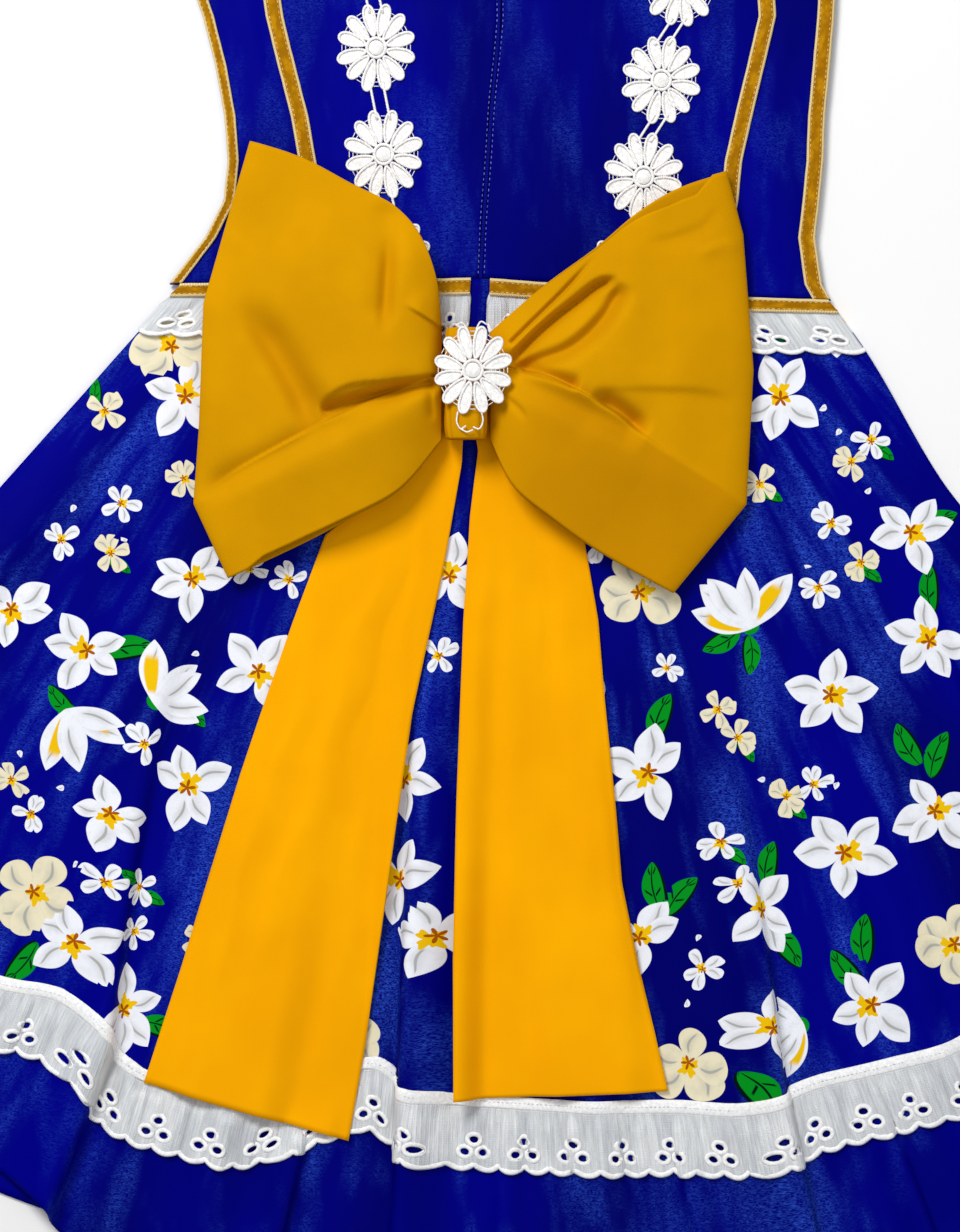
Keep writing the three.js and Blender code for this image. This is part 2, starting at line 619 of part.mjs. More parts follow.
for (const { name, column, width, inset, topTrim } of SEAM_RIBBONS) {
  const at = seamRibbon(column, width, inset, topTrim);
  add(name, wall(at, [0, 1], stops(13), overCloth, RIBBON), GOLD);
}

// ---- guipure daisies ----
const DAISY = { wide: 24.8, tall: 27.8, notch: 0.66, petals: 12, thick: 1.4, middle: 6.5, proud: 0.9 };
const LINK = { width: 1.6, apart: 8, into: 7 };

/** A twelve-petalled daisy lying at z around (x, y), with a raised middle. */
function daisy(x, y, z) {
  const outline = new THREE.Shape();
  const around = DAISY.petals * 3;
  for (let i = 0; i < around; i++) {
    const reach = i % 3 === 0 ? DAISY.notch : 1;
    const a = (i / around) * Math.PI * 2;
    const point = [x + Math.cos(a) * reach * DAISY.wide, y + Math.sin(a) * reach * DAISY.tall];
    if (i === 0) outline.moveTo(...point);
    else outline.lineTo(...point);
  }
  const petals = new THREE.ExtrudeGeometry(outline, { depth: DAISY.thick, bevelEnabled: false });
  const middle = new THREE.CylinderGeometry(DAISY.middle * 0.8, DAISY.middle, DAISY.proud + 0.6, 6)
    .rotateX(Math.PI / 2)
    .translate(x, y, z + DAISY.thick + (DAISY.proud - 0.6) / 2);
  return solid(petals.translate(0, 0, z)).add(solid(middle));
}

/** A chain of daisies from the waist seam up, joined by pairs of link threads. */
function daisyChain(rows) {
  const parts = rows.map(({ x, y }) => daisy(x, y, TRIM_Z));
  for (let i = 1; i < rows.length; i++) {
    const low = rows[i - 1];
    const high = rows[i];
    for (const side of [-1, 1]) {
      const aside = (side * LINK.apart) / 2;
      const thread = new THREE.Shape();
      thread.moveTo(low.x + aside - LINK.width / 2, low.y + DAISY.tall - LINK.into);
      thread.lineTo(low.x + aside + LINK.width / 2, low.y + DAISY.tall - LINK.into);
      thread.lineTo(high.x + aside + LINK.width / 2, high.y - DAISY.tall + LINK.into);
      thread.lineTo(high.x + aside - LINK.width / 2, high.y - DAISY.tall + LINK.into);
      const depth = DAISY.thick - 0.3;
      const strand = new THREE.ExtrudeGeometry(thread, { depth, bevelEnabled: false });
      parts.push(solid(strand.translate(0, 0, TRIM_Z + 0.1)));
    }
  }
  const waist = backWaistY(rows[0].x - DAISY.wide) + 1;
  const belowWaist = solid(box([rows[0].x - 40, waist - 60, 0], [rows[0].x + 40, waist, 20]));
  return geometryOf(union(parts).subtract(belowWaist));
}
const LEFT_DAISIES = [
  { x: -65.4, y: 26 },
  { x: -70, y: 88 },
  { x: -74.4, y: 152 },
  { x: -79, y: 214 },
  { x: -84, y: 276 },
  { x: -89, y: 338 },
];
const RIGHT_DAISIES = [
  { x: 75.6, y: 16 },
  { x: 86.4, y: 74.4 },
  { x: 97, y: 132.6 },
  { x: 108, y: 191 },
  { x: 109, y: 250 },
  { x: 106, y: 309 },
];
add('daisy_chain_left', daisyChain(LEFT_DAISIES), WHITE);
add('daisy_chain_right', daisyChain(RIGHT_DAISIES), WHITE);

// ---- bow ----
/** Highest fold of the skirt near a place, so that the bow lies clear of leaning crests. */
function liftNear(x, y) {
  let high = 0;
  for (let aside = -18; aside <= 18; aside += 6) {
    const r = Math.hypot(x + aside, APEX_Y - y);
    const deg = THREE.MathUtils.radToDeg(Math.atan2(x + aside, APEX_Y - y));
    high = Math.max(high, foldsAt(deg, r).lift);
  }
  return high;
}

// Corners of the tails, row by row from under the knot to the cut ends.
const LEFT_TAIL = [
  { lx: -33, ly: -50, rx: -21, ry: -50 },
  { lx: -52, ly: -100, rx: -23, ry: -98 },
  { lx: -105, ly: -141, rx: -33, ry: -156 },
  { lx: -124, ly: -192, rx: -43, ry: -203 },
  { lx: -143, ly: -246, rx: -53, ry: -250 },
  { lx: -156, ly: -285, rx: -60, ry: -300 },
  { lx: -168, ly: -324, rx: -67, ry: -350 },
  { lx: -180, ly: -363, rx: -74, ry: -400 },
  { lx: -192, ly: -402, rx: -81, ry: -448 },
  { lx: -214, ly: -470, rx: -91, ry: -505 },
];
const RIGHT_TAIL = [
  { lx: -20, ly: -50, rx: -8, ry: -50 },
  { lx: -13, ly: -90, rx: 10, ry: -96 },
  { lx: -18, ly: -130, rx: 50, ry: -140 },
  { lx: -22, ly: -192, rx: 59, ry: -192 },
  { lx: -24, ly: -246, rx: 63, ry: -240 },
  { lx: -26, ly: -300, rx: 69, ry: -300 },
  { lx: -27, ly: -350, rx: 73, ry: -350 },
  { lx: -28, ly: -396, rx: 83, ry: -400 },
  { lx: -28, ly: -440, rx: 93, ry: -440 },
  { lx: -28, ly: -480, rx: 101, ry: -475 },
];
function tailAt(rows) {
  const numbered = rows.map((row, i) => ({ ...row, t: i / (rows.length - 1) }));
  return (u, v) => {
    const at = (column) => table(numbered, 't', column, 1 - v);
    const x = lerp(at('lx'), at('rx'), u);
    const y = lerp(at('ly'), at('ry'), u);
    return new THREE.Vector3(x, y, BACK_BASE + CLOTH + TAIL_LIFT + liftNear(x, y));
  };
}
add('bow_tail_left', wall(tailAt(LEFT_TAIL), stops(6), stops(12), 0, CLOTH), MUSTARD);
add('bow_tail_right', wall(tailAt(RIGHT_TAIL), stops(6), stops(12), 0, CLOTH), MUSTARD);

// Each loop is a double layer folded at its outer edge. The tables give its upper and lower edges
// from the knot outwards, the outer edge's bulge, and the creases that run from the knot.
const LEFT_LOOP = {
  side: -1,
  upper: [[-34.8, -18], [-38, 12], [-48, 38], [-62, 54], [-90, 69], [-118, 84], [-150, 95]],
  lower: [[-34.8, -84], [-60, -114], [-88, -130], [-114, -144], [-163, -167]],
  bulge: [{ v: 0, out: 0 }, { v: 0.37, out: 23 }, { v: 0.65, out: 22 }, { v: 0.83, out: 23 }, { v: 1, out: 0 }],
  creases: [
    { from: [-182, -118], to: [-43, -48], depth: 6, width: 8 },
    { from: [-66, 60], to: [-72, -18], depth: 3, width: 9 },
  ],
};
const RIGHT_LOOP = {
  side: 1,
  upper: [[-6.2, -20], [24, 7], [58, 32], [83, 53], [106.5, 67], [136, 77]],
  lower: [[-6.2, -84], [8, -112], [32, -132], [56, -149], [104, -176]],
  bulge: [{ v: 0, out: 0 }, { v: 0.15, out: 14.6 }, { v: 0.47, out: 31 }, { v: 0.79, out: 37 }, { v: 1, out: 0 }],
  creases: [
    { from: [0, -44], to: [88, -84], depth: 6, width: 8 },
    { from: [8, -41], to: [70, 9], depth: 4, width: 8 },
  ],
};
const LOOP = { nose: 0.06, noseTurn: 0.16, edgeGap: 10, puff: 19, leastGap: 6 };

/** Point on a smooth line through the given plan points. */
function along(points, t) {
  const curve = new THREE.CatmullRomCurve3(points.map(([x, y]) => new THREE.Vector3(x, y, 0)));
  return curve.getPoint(clamp(t, 0, 1));
}

/** How far a crease sinks the cloth at (x, y). */
function creaseAt({ from, to, depth, width }, x, y) {
  const run = [to[0] - from[0], to[1] - from[1]];
  const length = Math.hypot(...run);
  const t = ((x - from[0]) * run[0] + (y - from[1]) * run[1]) / length ** 2;
  const off = ((x - from[0]) * run[1] - (y - from[1]) * run[0]) / length;
  const ends = smooth(t / 0.15) * smooth((1 - t) / 0.15);
  return depth * Math.exp(-((off / width) ** 2)) * ends;
}

/** A loop's wall: u from the knot out along the underside and back over the top, v up. */
function loopAt(loop) {
  return (u, v) => {
    const turn = loop.side * (2 * u - 1);
    const round = clamp(Math.abs(turn) / LOOP.noseTurn, 0, 1) * (Math.PI / 2);
    const straight = Math.max(Math.abs(turn) - LOOP.noseTurn, 0) / (1 - LOOP.noseTurn);
    const s = 1 - LOOP.nose * (1 - Math.cos(round)) - (1 - LOOP.nose) * straight;
    const top = along(loop.upper, s);
    const low = along(loop.lower, s);
    const out = table(loop.bulge, 'v', 'out', 1 - v) * s ** 2 * loop.side;
    const x = lerp(low.x, top.x, v) + out;
    const y = lerp(low.y, top.y, v);
    const across = 0.55 + 0.45 * Math.sin(Math.PI * v);
    let high = LOOP.edgeGap + LOOP.puff * Math.sin(Math.PI * s ** 0.8) * across;
    for (const crease of loop.creases) high -= creaseAt(crease, x, y);
    const part = 0.5 - 0.5 * Math.sign(turn) * Math.sin(round);
    const gap = Math.max(high, LOOP.leastGap);
    return new THREE.Vector3(x, y, BOW_BASE + liftNear(x, y) + gap * part);
  };
}
const TURNS = [0, 0.1, 0.22, 0.34, 0.42, 0.455, 0.48, 0.5, 0.52, 0.545, 0.58, 0.63, 0.69, 0.76, 0.84, 0.92, 1];
const bothWays = (side) => (side > 0 ? TURNS : TURNS.map((u) => 1 - u).reverse());
add('bow_loop_left', wall(loopAt(LEFT_LOOP), bothWays(-1), stops(9), -BOW_WALL, BOW_WALL), MUSTARD);
add('bow_loop_right', wall(loopAt(RIGHT_LOOP), bothWays(1), stops(9), -BOW_WALL, BOW_WALL), MUSTARD);

// The knot is the bow's centre band, rolled round the gathered loops.
const KNOT = { x: -20.5, half: 13.5, low: -84, high: -18, tall: 27 };
const KNOT_RINGS = [
  { y: KNOT.low, scale: 0.86 },
  { y: KNOT.low + 7, scale: 1 },
  { y: (KNOT.low + KNOT.high) / 2, scale: 0.93 },
  { y: KNOT.high - 7, scale: 1 },
  { y: KNOT.high, scale: 0.86 },
];
function knot() {
  const around = 16;
  const position = [];
  const index = [];
  const midZ = BOW_BASE + KNOT.tall / 2;
  for (const { y, scale } of KNOT_RINGS) {
    for (let i = 0; i < around; i++) {
      const a = (i / around) * Math.PI * 2;
      const round = (c) => Math.sign(c) * Math.abs(c) ** 0.7;
      position.push(
        KNOT.x + KNOT.half * scale * round(Math.cos(a)),
        y,
        midZ + (KNOT.tall / 2) * scale * round(Math.sin(a)),
      );
    }
  }
  for (let ring = 0; ring + 1 < KNOT_RINGS.length; ring++) {
    for (let i = 0; i < around; i++) {
      const a = ring * around + i;
      const b = ring * around + ((i + 1) % around);
      index.push(a, b + around, b, a, a + around, b + around);
    }
  }
  const last = (KNOT_RINGS.length - 1) * around;
  for (let i = 1; i + 1 < around; i++) {
    index.push(0, i, i + 1);
    index.push(last, last + i + 1, last + i);
  }
  const geometry = new THREE.BufferGeometry();
  geometry.setAttribute('position', new THREE.Float32BufferAttribute(position, 3));
  geometry.setIndex(index);
  return geometry;
}
add('bow_knot', knot(), MUSTARD);

const BOW_DAISY = { x: -16.2, y: -43.8, droop: 0.006 };
const daisyTop = BOW_BASE + KNOT.tall + 2 * SEAM;
const bowDaisy = geometryOf(daisy(BOW_DAISY.x, BOW_DAISY.y, daisyTop));
const places = bowDaisy.attributes.position;
for (let i = 0; i < places.count; i++) {
  const aside = places.getX(i) - BOW_DAISY.x;
  places.setZ(i, places.getZ(i) - BOW_DAISY.droop * aside ** 2);
}
add('bow_daisy', bowDaisy, WHITE);

export default dress;
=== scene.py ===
"""The looks of a huasa dress that lies flat on its front, seen from straight above its back.

Lengths in the tables are millimetres, as in the part's own source; meshes are made in metres.
"""

import math

import bpy
import numpy as np
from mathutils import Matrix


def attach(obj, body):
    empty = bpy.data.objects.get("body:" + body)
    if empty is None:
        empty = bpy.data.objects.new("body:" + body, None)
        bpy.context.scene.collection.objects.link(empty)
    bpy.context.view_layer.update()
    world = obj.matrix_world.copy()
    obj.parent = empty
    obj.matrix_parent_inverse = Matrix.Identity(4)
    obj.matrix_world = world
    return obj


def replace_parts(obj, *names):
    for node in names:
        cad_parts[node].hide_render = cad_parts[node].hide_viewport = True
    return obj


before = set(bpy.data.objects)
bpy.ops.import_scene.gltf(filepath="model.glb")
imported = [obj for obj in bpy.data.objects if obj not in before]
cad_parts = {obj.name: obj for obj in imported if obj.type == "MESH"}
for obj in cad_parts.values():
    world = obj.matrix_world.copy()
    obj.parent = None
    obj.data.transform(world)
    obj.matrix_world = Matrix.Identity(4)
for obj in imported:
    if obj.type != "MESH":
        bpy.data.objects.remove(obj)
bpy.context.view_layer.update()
MM = 0.001
BODY = "dress"


# ---- sizes, the same as the part's ----
CLOTH, LACE, RIBBON, BOW_WALL = 1.2, 1.0, 0.9, 1.5
RIBBON_WIDTH, FRILL_DEPTH = 10.0, 31.0
HEM_LACE_DEPTH, BINDING_WIDTH, FLOUNCE_DEPTH, HEM_GAP = 39.0, 6.0, 108.0, 1.0
APEX_Y = 225.6
LEFT_SIDE, RIGHT_TOP, RIGHT_HEM = 41.7, 41.2, 38.5
RIGHT_RADII = (300.0, 440.0)
FRONT_STEP, SEAM = 1.3, 0.3
BACK_BASE = FRONT_STEP + CLOTH + SEAM
TRIM_Z = BACK_BASE + CLOTH + SEAM
TAIL_LIFT = 2.1
BOW_BASE = BACK_BASE + CLOTH + TAIL_LIFT + CLOTH + SEAM
SIDE_DROP = BACK_BASE - CLOTH - SEAM
EDGE_ROUND = 12.0
ZIP_HALF = 1.2
FRONT_HEM_SEAM = 712.0
SKIRT_START = 0.5  # below the waist seam
RISE_BELOW_WAIST, RISE_ABOVE_HEM, RISE_RUN = 60.0, 10.0, 40.0
FULL_TURN = 6.3

# Bodice: y, then x of left side, left princess seam, zip, right princess seam, right side.
BODICE = np.array([
    (-12, -201, -99, -12.6, 127, 206), (10, -199, -101, -12, 130, 194),
    (38, -177.6, -106.5, -10.5, 134, 190), (60, -166.5, -111, -9, 138, 192.6),
    (84, -164, -115.8, -7.5, 140.4, 195), (111, -166, -120.5, -5.5, 146.5, 196),
    (142, -171.6, -128.5, -2.6, 154, 199), (171, -179, -135.6, 0, 160.8, 201.5),
    (203, -190, -140, 0, 159, 203), (224, -177, -139.5, 0, 155, 186),
    (260, -168, -137.5, 0, 148, 172), (310, -168, -135, 0, 141, 170),
    (350, -177, -133, 0, 137, 178), (392, -190, -131, 0, 133, 190),
], float)
COLUMNS = {"side_left": 1, "princess_left": 2, "zip": 3, "princess_right": 4, "side_right": 5}
SHOULDER_Y, SHOULDER_SLOPE, NECK_HALF, BACK_NECK_DEPTH = 400.0, 0.17, 75.0, 25.0
BACK_WAIST = np.array([(-201, 10), (-12, 14), (150, 2), (206, 0)], float)
FRONT_WAIST = np.array([(-201, 10), (206, 0)], float)
ZIP_GAP = (-17.4, -6.0)
WAIST_LENGTHS = (182.0, 210.0)  # of the trims left and right of the zip

# Radius of the hem seam by angle.
HEM_SEAM = np.array([
    (-41.7, 712), (-32, 716), (-25.1, 707), (-22.7, 698), (-21.4, 699), (-19.6, 715),
    (-18.2, 725), (-16.9, 728), (-11.9, 727), (-8.6, 704), (-6.9, 692), (-5.9, 688),
    (-4.4, 708), (1.4, 712), (8.4, 721), (11.8, 732), (15.2, 724), (22.2, 731), (32, 718),
    (41.2, 712),
], float)
# Folds: angle at the start and at the hem, start radius (0: at the hem seam), height, half
# width, lean.
FOLDS = [
    (-40.5, -34.5, 350, 9, 17, 0.6), (-27.5, -20.3, 360, 13, 20, 0.8),
    (-14, -13, 430, 7, 24, 0.2), (-5.2, -3.6, 350, 14, 19, -0.85),
    (4.5, 4.5, 470, 6, 22, 0.2), (15.5, 12.6, 420, 12, 18, 0.8),
    (22.5, 21, 480, 7, 22, 0.3), (38, 28.5, 300, 11, 18, -0.7),
    (-38.5, -38.8, 0, 8, 12, -0.5), (-28.5, -29, 0, 9, 13, 0.6),
    (-9.6, -10.2, 0, 8, 11, 0.7), (0.5, 0.2, 0, 6, 13, -0.3),
    (8.8, 9, 0, 7, 11, -0.6), (17.4, 17.8, 0, 8, 12, 0.6),
    (25, 25.2, 0, 7, 12, 0.4), (34, 34.5, 0, 8, 13, -0.5),
]
FOLD_FULL_RADIUS = 716.0


# ---- small maths ----
def smooth(t):
    t = np.clip(t, 0, 1)
    return t * t * (3 - 2 * t)


def lerp(a, b, t):
    return a + (b - a) * t


def interp(table, at, column=1):
    return np.interp(at, table[:, 0], table[:, column])


def wobble(x, y, seed, size):
    """Smooth uneven field of about -1 to 1, a few turned sine waves."""
    rng = np.random.default_rng(seed)
    total = 0
    for _ in range(6):
        turn = rng.uniform(0, math.pi)
        wave = 2 * math.pi / (size * rng.uniform(0.6, 1.7))
        across = x * math.cos(turn) + y * math.sin(turn)
        total = total + np.sin(across * wave + rng.uniform(0, FULL_TURN))
    return total / 3.2


# ---- cloth surfaces, as arrays of points in millimetres ----
def seam_x(column, y):
    return interp(BODICE, y, COLUMNS[column])


def back_waist_y(x):
    return interp(BACK_WAIST, x)


def front_waist_y(x):
    return interp(FRONT_WAIST, x)


def top_y(x, depth):
    out = np.abs(x)
    neck = SHOULDER_Y - depth * (1 - np.clip(out / NECK_HALF, 0, 1) ** 2.4) ** 0.7
    return np.where(out >= NECK_HALF, SHOULDER_Y - (out - NECK_HALF) * SHOULDER_SLOPE, neck)


def side_angle(q, r):
    a, b = RIGHT_RADII
    right = lerp(RIGHT_TOP, RIGHT_HEM, smooth((r - a) / (b - a)))
    return np.where(q < 0, q * LEFT_SIDE, q * right)


def waist_radius(deg, waist_y):
    slope = np.tan(np.radians(deg))
    y = np.zeros_like(slope)
    for _ in range(4):
        y = waist_y((APEX_Y - y) * slope)
    return (APEX_Y - y) / np.cos(np.radians(deg))


def waist_at(q):
    return waist_radius(side_angle(q, 0), back_waist_y)


def front_waist_at(q):
    return waist_radius(side_angle(q, 0), front_waist_y)


SEAM_SOFTNESS = 0.9  # degrees


def hem_seam(q):
    """The hem seam's radius, its table rounded off at the corners."""
    deg = side_angle(q, FOLD_FULL_RADIUS)
    asides = (-1, -0.5, 0, 0.5, 1)
    return sum(interp(HEM_SEAM, deg + aside * SEAM_SOFTNESS) for aside in asides) / len(asides)


def folds_at(deg, r):
    lift, lean = np.zeros_like(r), np.zeros_like(r)
    seam = interp(HEM_SEAM, deg)
    for start, hem, begin, high, half, tilt in FOLDS:
        begin_r = begin if begin else seam
        full = FOLD_FULL_RADIUS if begin else begin_r + FLOUNCE_DEPTH
        reach = np.clip((r - begin_r) / (full - begin_r), 0, 1)
        height = high * smooth(reach if begin else reach * 1.6)
        aside = np.radians(deg - lerp(start, hem, reach)) * r / half
        bump = np.where(np.abs(aside) < 1, height * np.cos(aside * math.pi / 2) ** 2, 0)
        lift += bump
        lean += bump * tilt
    return lift, lean


def back_at(q, r):
    """Underside of the back skirt and flounce."""
    deg = side_angle(q, r)
    lift, lean = folds_at(deg, r)
    a = np.radians(deg) + lean / r
    side = side_angle(np.where(q < 0, -1, 1), r)
    from_side = np.radians(np.abs(side - deg)) * r
    below = r - waist_radius(deg, back_waist_y)
    above = interp(HEM_SEAM, deg) - RISE_ABOVE_HEM - r
    clear = np.minimum(below - RISE_BELOW_WAIST, above) / RISE_RUN
    drop = SIDE_DROP * smooth(clear) * (1 - smooth(from_side / EDGE_ROUND))
    return np.stack([r * np.sin(a), APEX_Y - r * np.cos(a), BACK_BASE - drop + lift], -1)


def back_grid(q_stops, outer, inner, nv):
    """A band of the laid back and its places on flat cloth; v from outside to inside."""
    q = np.repeat(q_stops[:, None], nv, 1)
    r = lerp(outer[:, None], inner[:, None], np.linspace(0, 1, nv)[None, :])
    return laid_back_at(q, r), flat_place(q, r)


def normals_of(p):
    n = np.cross(np.gradient(p, axis=0), np.gradient(p, axis=1))
    return n / np.maximum(np.linalg.norm(n, axis=-1, keepdims=True), 1e-12)


# ---- meshes ----
def link(name, mesh, material):
    piece = bpy.data.objects.new(name, mesh)
    bpy.context.scene.collection.objects.link(piece)
    mesh.materials.append(material)
    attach(piece, BODY)
    return piece


def make_mesh(name, points, faces, uv):
    mesh = bpy.data.meshes.new(name)
    mesh.from_pydata((points * MM).tolist(), [], faces)
    layer = mesh.uv_layers.new(name="cloth")
    loops = np.zeros(len(mesh.loops), np.int32)
    mesh.loops.foreach_get("vertex_index", loops)
    layer.data.foreach_set("uv", (uv[loops] * MM).astype(np.float32).ravel())
    mesh.shade_smooth()
    mesh.validate()
    return mesh


def cloth(name, p, uv, under, thick, material, holes=None):
    """A closed wall from a grid of points: its underside and its top along the normals."""
    nu, nv = p.shape[:2]
    n = normals_of(p)
    points = np.concatenate([(p + n * high).reshape(-1, 3) for high in (under, under + thick)])
    uvs = np.concatenate([uv.reshape(-1, 2)] * 2)
    index = np.arange(nu * nv).reshape(nu, nv)
    a, b, c, d = index[:-1, :-1], index[1:, :-1], index[1:, 1:], index[:-1, 1:]
    keep = np.ones(a.shape, bool) if holes is None else ~holes
    over = nu * nv
    faces = [np.stack([a, b, c, d], -1)[keep] + over, np.stack([a, d, c, b], -1)[keep]]
    pad = np.pad(keep, 1)
    for du, dv, e, f in ((0, -1, a, b), (0, 1, c, d), (-1, 0, d, a), (1, 0, b, c)):
        rim = keep & ~pad[1 + du:nu + du, 1 + dv:nv + dv]
        faces.append(np.stack([e[rim], f[rim], f[rim] + over, e[rim] + over], -1))
    used, inverse = np.unique(np.concatenate(faces), return_inverse=True)
    mesh = make_mesh(name, points[used], inverse.reshape(-1, 4).tolist(), uvs[used])
    return link(name, mesh, material)


def ring_faces(rings, around, closed=False):
    """Faces between rings that follow one another."""
    faces = []
    for i in range(rings if closed else rings - 1):
        j = (i + 1) % rings
        for k in range(around):
            m = (k + 1) % around
            faces.append((i * around + k, i * around + m, j * around + m, j * around + k))
    return faces


def tube(path, radius, sides=6, closed=False, squash=1.0):
    """Points and faces of a round cord along a path of points; squash flattens its height."""
    count = len(path)
    tangent = np.roll(path, -1, 0) - np.roll(path, 1, 0) if closed else np.gradient(path, axis=0)
    tangent /= np.maximum(np.linalg.norm(tangent, axis=1, keepdims=True), 1e-9)
    across = np.cross(tangent, [0, 0, 1.0])
    across /= np.maximum(np.linalg.norm(across, axis=1, keepdims=True), 1e-9)
    up = np.cross(across, tangent)
    turn = np.linspace(0, 2 * math.pi, sides, endpoint=False)[None, :, None]
    ring = across[:, None] * np.cos(turn) + up[:, None] * np.sin(turn) * squash
    faces = ring_faces(count, sides, closed)
    if not closed:
        faces += [tuple(range(sides))[::-1], tuple(range((count - 1) * sides, count * sides))]
    return (path[:, None] + ring * radius).reshape(-1, 3), faces


class Joined:
    """Collects many small meshes into one piece."""

    def __init__(self):
        self.points, self.faces, self.uvs, self.total = [], [], [], 0

    def add(self, points, faces):
        self.points.append(points)
        self.faces += [tuple(i + self.total for i in face) for face in faces]
        self.uvs.append(points[:, :2])
        self.total += len(points)

    def piece(self, name, material, slot):
        mesh = make_mesh(name, np.concatenate(self.points), self.faces, np.concatenate(self.uvs))
        return link(name, mesh, material)


# Length, gap, width and height of the stitches.
STITCHES = {
    "binding": (1.1, 1.5, 0.7, 0.4), "ribbon": (1.6, 1.6, 0.55, 0.35),
    "loop": (1.8, 1.4, 0.5, 0.3), "zip": (1.4, 1.9, 0.5, 0.35),
}
STITCH_START, STITCH_SIDES = 0.5, 5
STITCH_ARCH = np.array([-0.35, 0.1, 0.22, 0.1, -0.35])


def dashes(joined, path, kind):
    """Stitches along a path of points: short threads with their ends sunk in the cloth."""
    length, gap, wide, high = STITCHES[kind]
    steps = np.linalg.norm(np.diff(path, axis=0), axis=1)
    run = np.concatenate([[0], np.cumsum(steps)])
    at = STITCH_START
    while at + length < run[-1]:
        t = np.linspace(at, at + length, len(STITCH_ARCH))
        line = np.stack([np.interp(t, run, path[:, k]) for k in range(3)], -1)
        line[:, 2] += STITCH_ARCH * high
        joined.add(*tube(line, wide / 2, STITCH_SIDES))
        at += length + gap


# ---- materials: a small way to write node sums ----
def new_node(tree, kind, inputs, **settings):
    """A shader node with its settings, and its inputs set or linked, by name or number."""
    node = tree.nodes.new("ShaderNode" + kind)
    for key, value in settings.items():
        setattr(node, key, value)
    for key, value in inputs.items():
        source = getattr(value, "socket", value)
        if isinstance(source, bpy.types.NodeSocket):
            tree.links.new(source, node.inputs[key])
        else:
            node.inputs[key].default_value = source
    return node


def sum_of(kind):
    return lambda self, *others: self.op(kind, *others)


class Field:
    """A value in a node tree; sums of fields make Math nodes."""

    def __init__(self, tree, socket):
        self.tree, self.socket = tree, socket

    def op(self, kind, *others):
        inputs = dict(enumerate((self, *others)))
        return Field(self.tree, new_node(self.tree, "Math", inputs, operation=kind).outputs[0])

    __add__ = __radd__ = sum_of("ADD")
    __mul__ = __rmul__ = sum_of("MULTIPLY")
    __sub__, __truediv__ = sum_of("SUBTRACT"), sum_of("DIVIDE")
    sin, cos, angle = sum_of("SINE"), sum_of("COSINE"), sum_of("ARCTAN2")
    abs, sign, floor, root = sum_of("ABSOLUTE"), sum_of("SIGN"), sum_of("FLOOR"), sum_of("SQRT")
    pow, least, most = sum_of("POWER"), sum_of("MINIMUM"), sum_of("MAXIMUM")
    above = sum_of("GREATER_THAN")

    def __rsub__(self, other):
        return self * -1.0 + other

    def equals(self, value):
        return self.op("COMPARE", value, 0.1)

    def wave(self):
        """Its sine, from 0 to 1."""
        return self.sin() * 0.5 + 0.5

    def step(self, low, high):
        """0 below low, 1 above high, smooth between; low may be above high."""
        falls = float(low > high)
        node = new_node(self.tree, "MapRange", {
            "Value": self, "From Min": min(low, high), "From Max": max(low, high),
            "To Min": falls, "To Max": 1.0 - falls,
        }, interpolation_type="SMOOTHSTEP")
        return Field(self.tree, node.outputs["Result"])


class Paint:
    """A new material with a Principled shader, and helpers for its nodes."""

    def __init__(self, name, roughness=0.6, **sockets):
        self.material = bpy.data.materials.new(name)
        self.material.use_nodes = True
        self.tree = self.material.node_tree
        self.shader = self.tree.nodes["Principled BSDF"]
        for key, value in {"Roughness": roughness, **sockets}.items():
            self.shader.inputs[key.replace("_", " ")].default_value = value

    def node(self, kind, inputs=None, **settings):
        return new_node(self.tree, kind, inputs or {}, **settings)

    def split(self, vector):
        outputs = self.node("SeparateXYZ", {0: vector}).outputs
        return [Field(self.tree, out) for out in outputs]

    def uv(self):
        return self.node("UVMap", uv_map="cloth").outputs[0]

    def place(self):
        return self.node("TexCoord").outputs["Object"]

    def attribute(self, name, out="Vector"):
        return self.node("Attribute", attribute_name=name).outputs[out]

    def stretched(self, vector, stretch):
        return self.node("Mapping", {"Scale": stretch, "Vector": vector}).outputs[0]

    def noise(self, vector, scale, detail=3.0, rough=0.55, stretch=None):
        source = self.stretched(vector, stretch) if stretch else vector
        inputs = {"Vector": source, "Scale": scale, "Detail": detail, "Roughness": rough}
        return Field(self.tree, self.node("TexNoise", inputs).outputs[0])

    def random(self, value):
        node = self.node("TexWhiteNoise", {"W": value}, noise_dimensions="1D")
        return Field(self.tree, node.outputs["Value"])

    def mix(self, share, a, b):
        a, b = ((*colour, 1.0) if isinstance(colour, tuple) else colour for colour in (a, b))
        return self.node("Mix", {0: share, 6: a, 7: b}, data_type="RGBA").outputs[2]

    def colour(self, socket):
        self.tree.links.new(socket, self.shader.inputs["Base Color"])

    def rough(self, field):
        self.tree.links.new(field.socket, self.shader.inputs["Roughness"])

    def bump(self, height, distance, strength):
        node = self.node("Bump", {"Height": height, "Distance": distance, "Strength": strength})
        self.tree.links.new(node.outputs[0], self.shader.inputs["Normal"])


def rgb(*levels):
    """Linear colour of an sRGB one written as 0 to 255."""
    shares = [level / 255 for level in levels]
    return tuple(c / 12.92 if c <= 10 / 255 else ((c + 0.055) / 1.055) ** 2.4 for c in shares)


def weave(paint, vector, pitch):
    """Plain weave: two crossing sets of threads, as a height from 0 to 1."""
    x, y, _ = paint.split(vector)
    turn = 2 * math.pi / pitch
    warp = (x * turn).wave() * (y * turn * 0.5).wave()
    weft = (y * turn).wave() * (1 - (x * turn * 0.5).wave())
    return (warp + weft) * 0.7


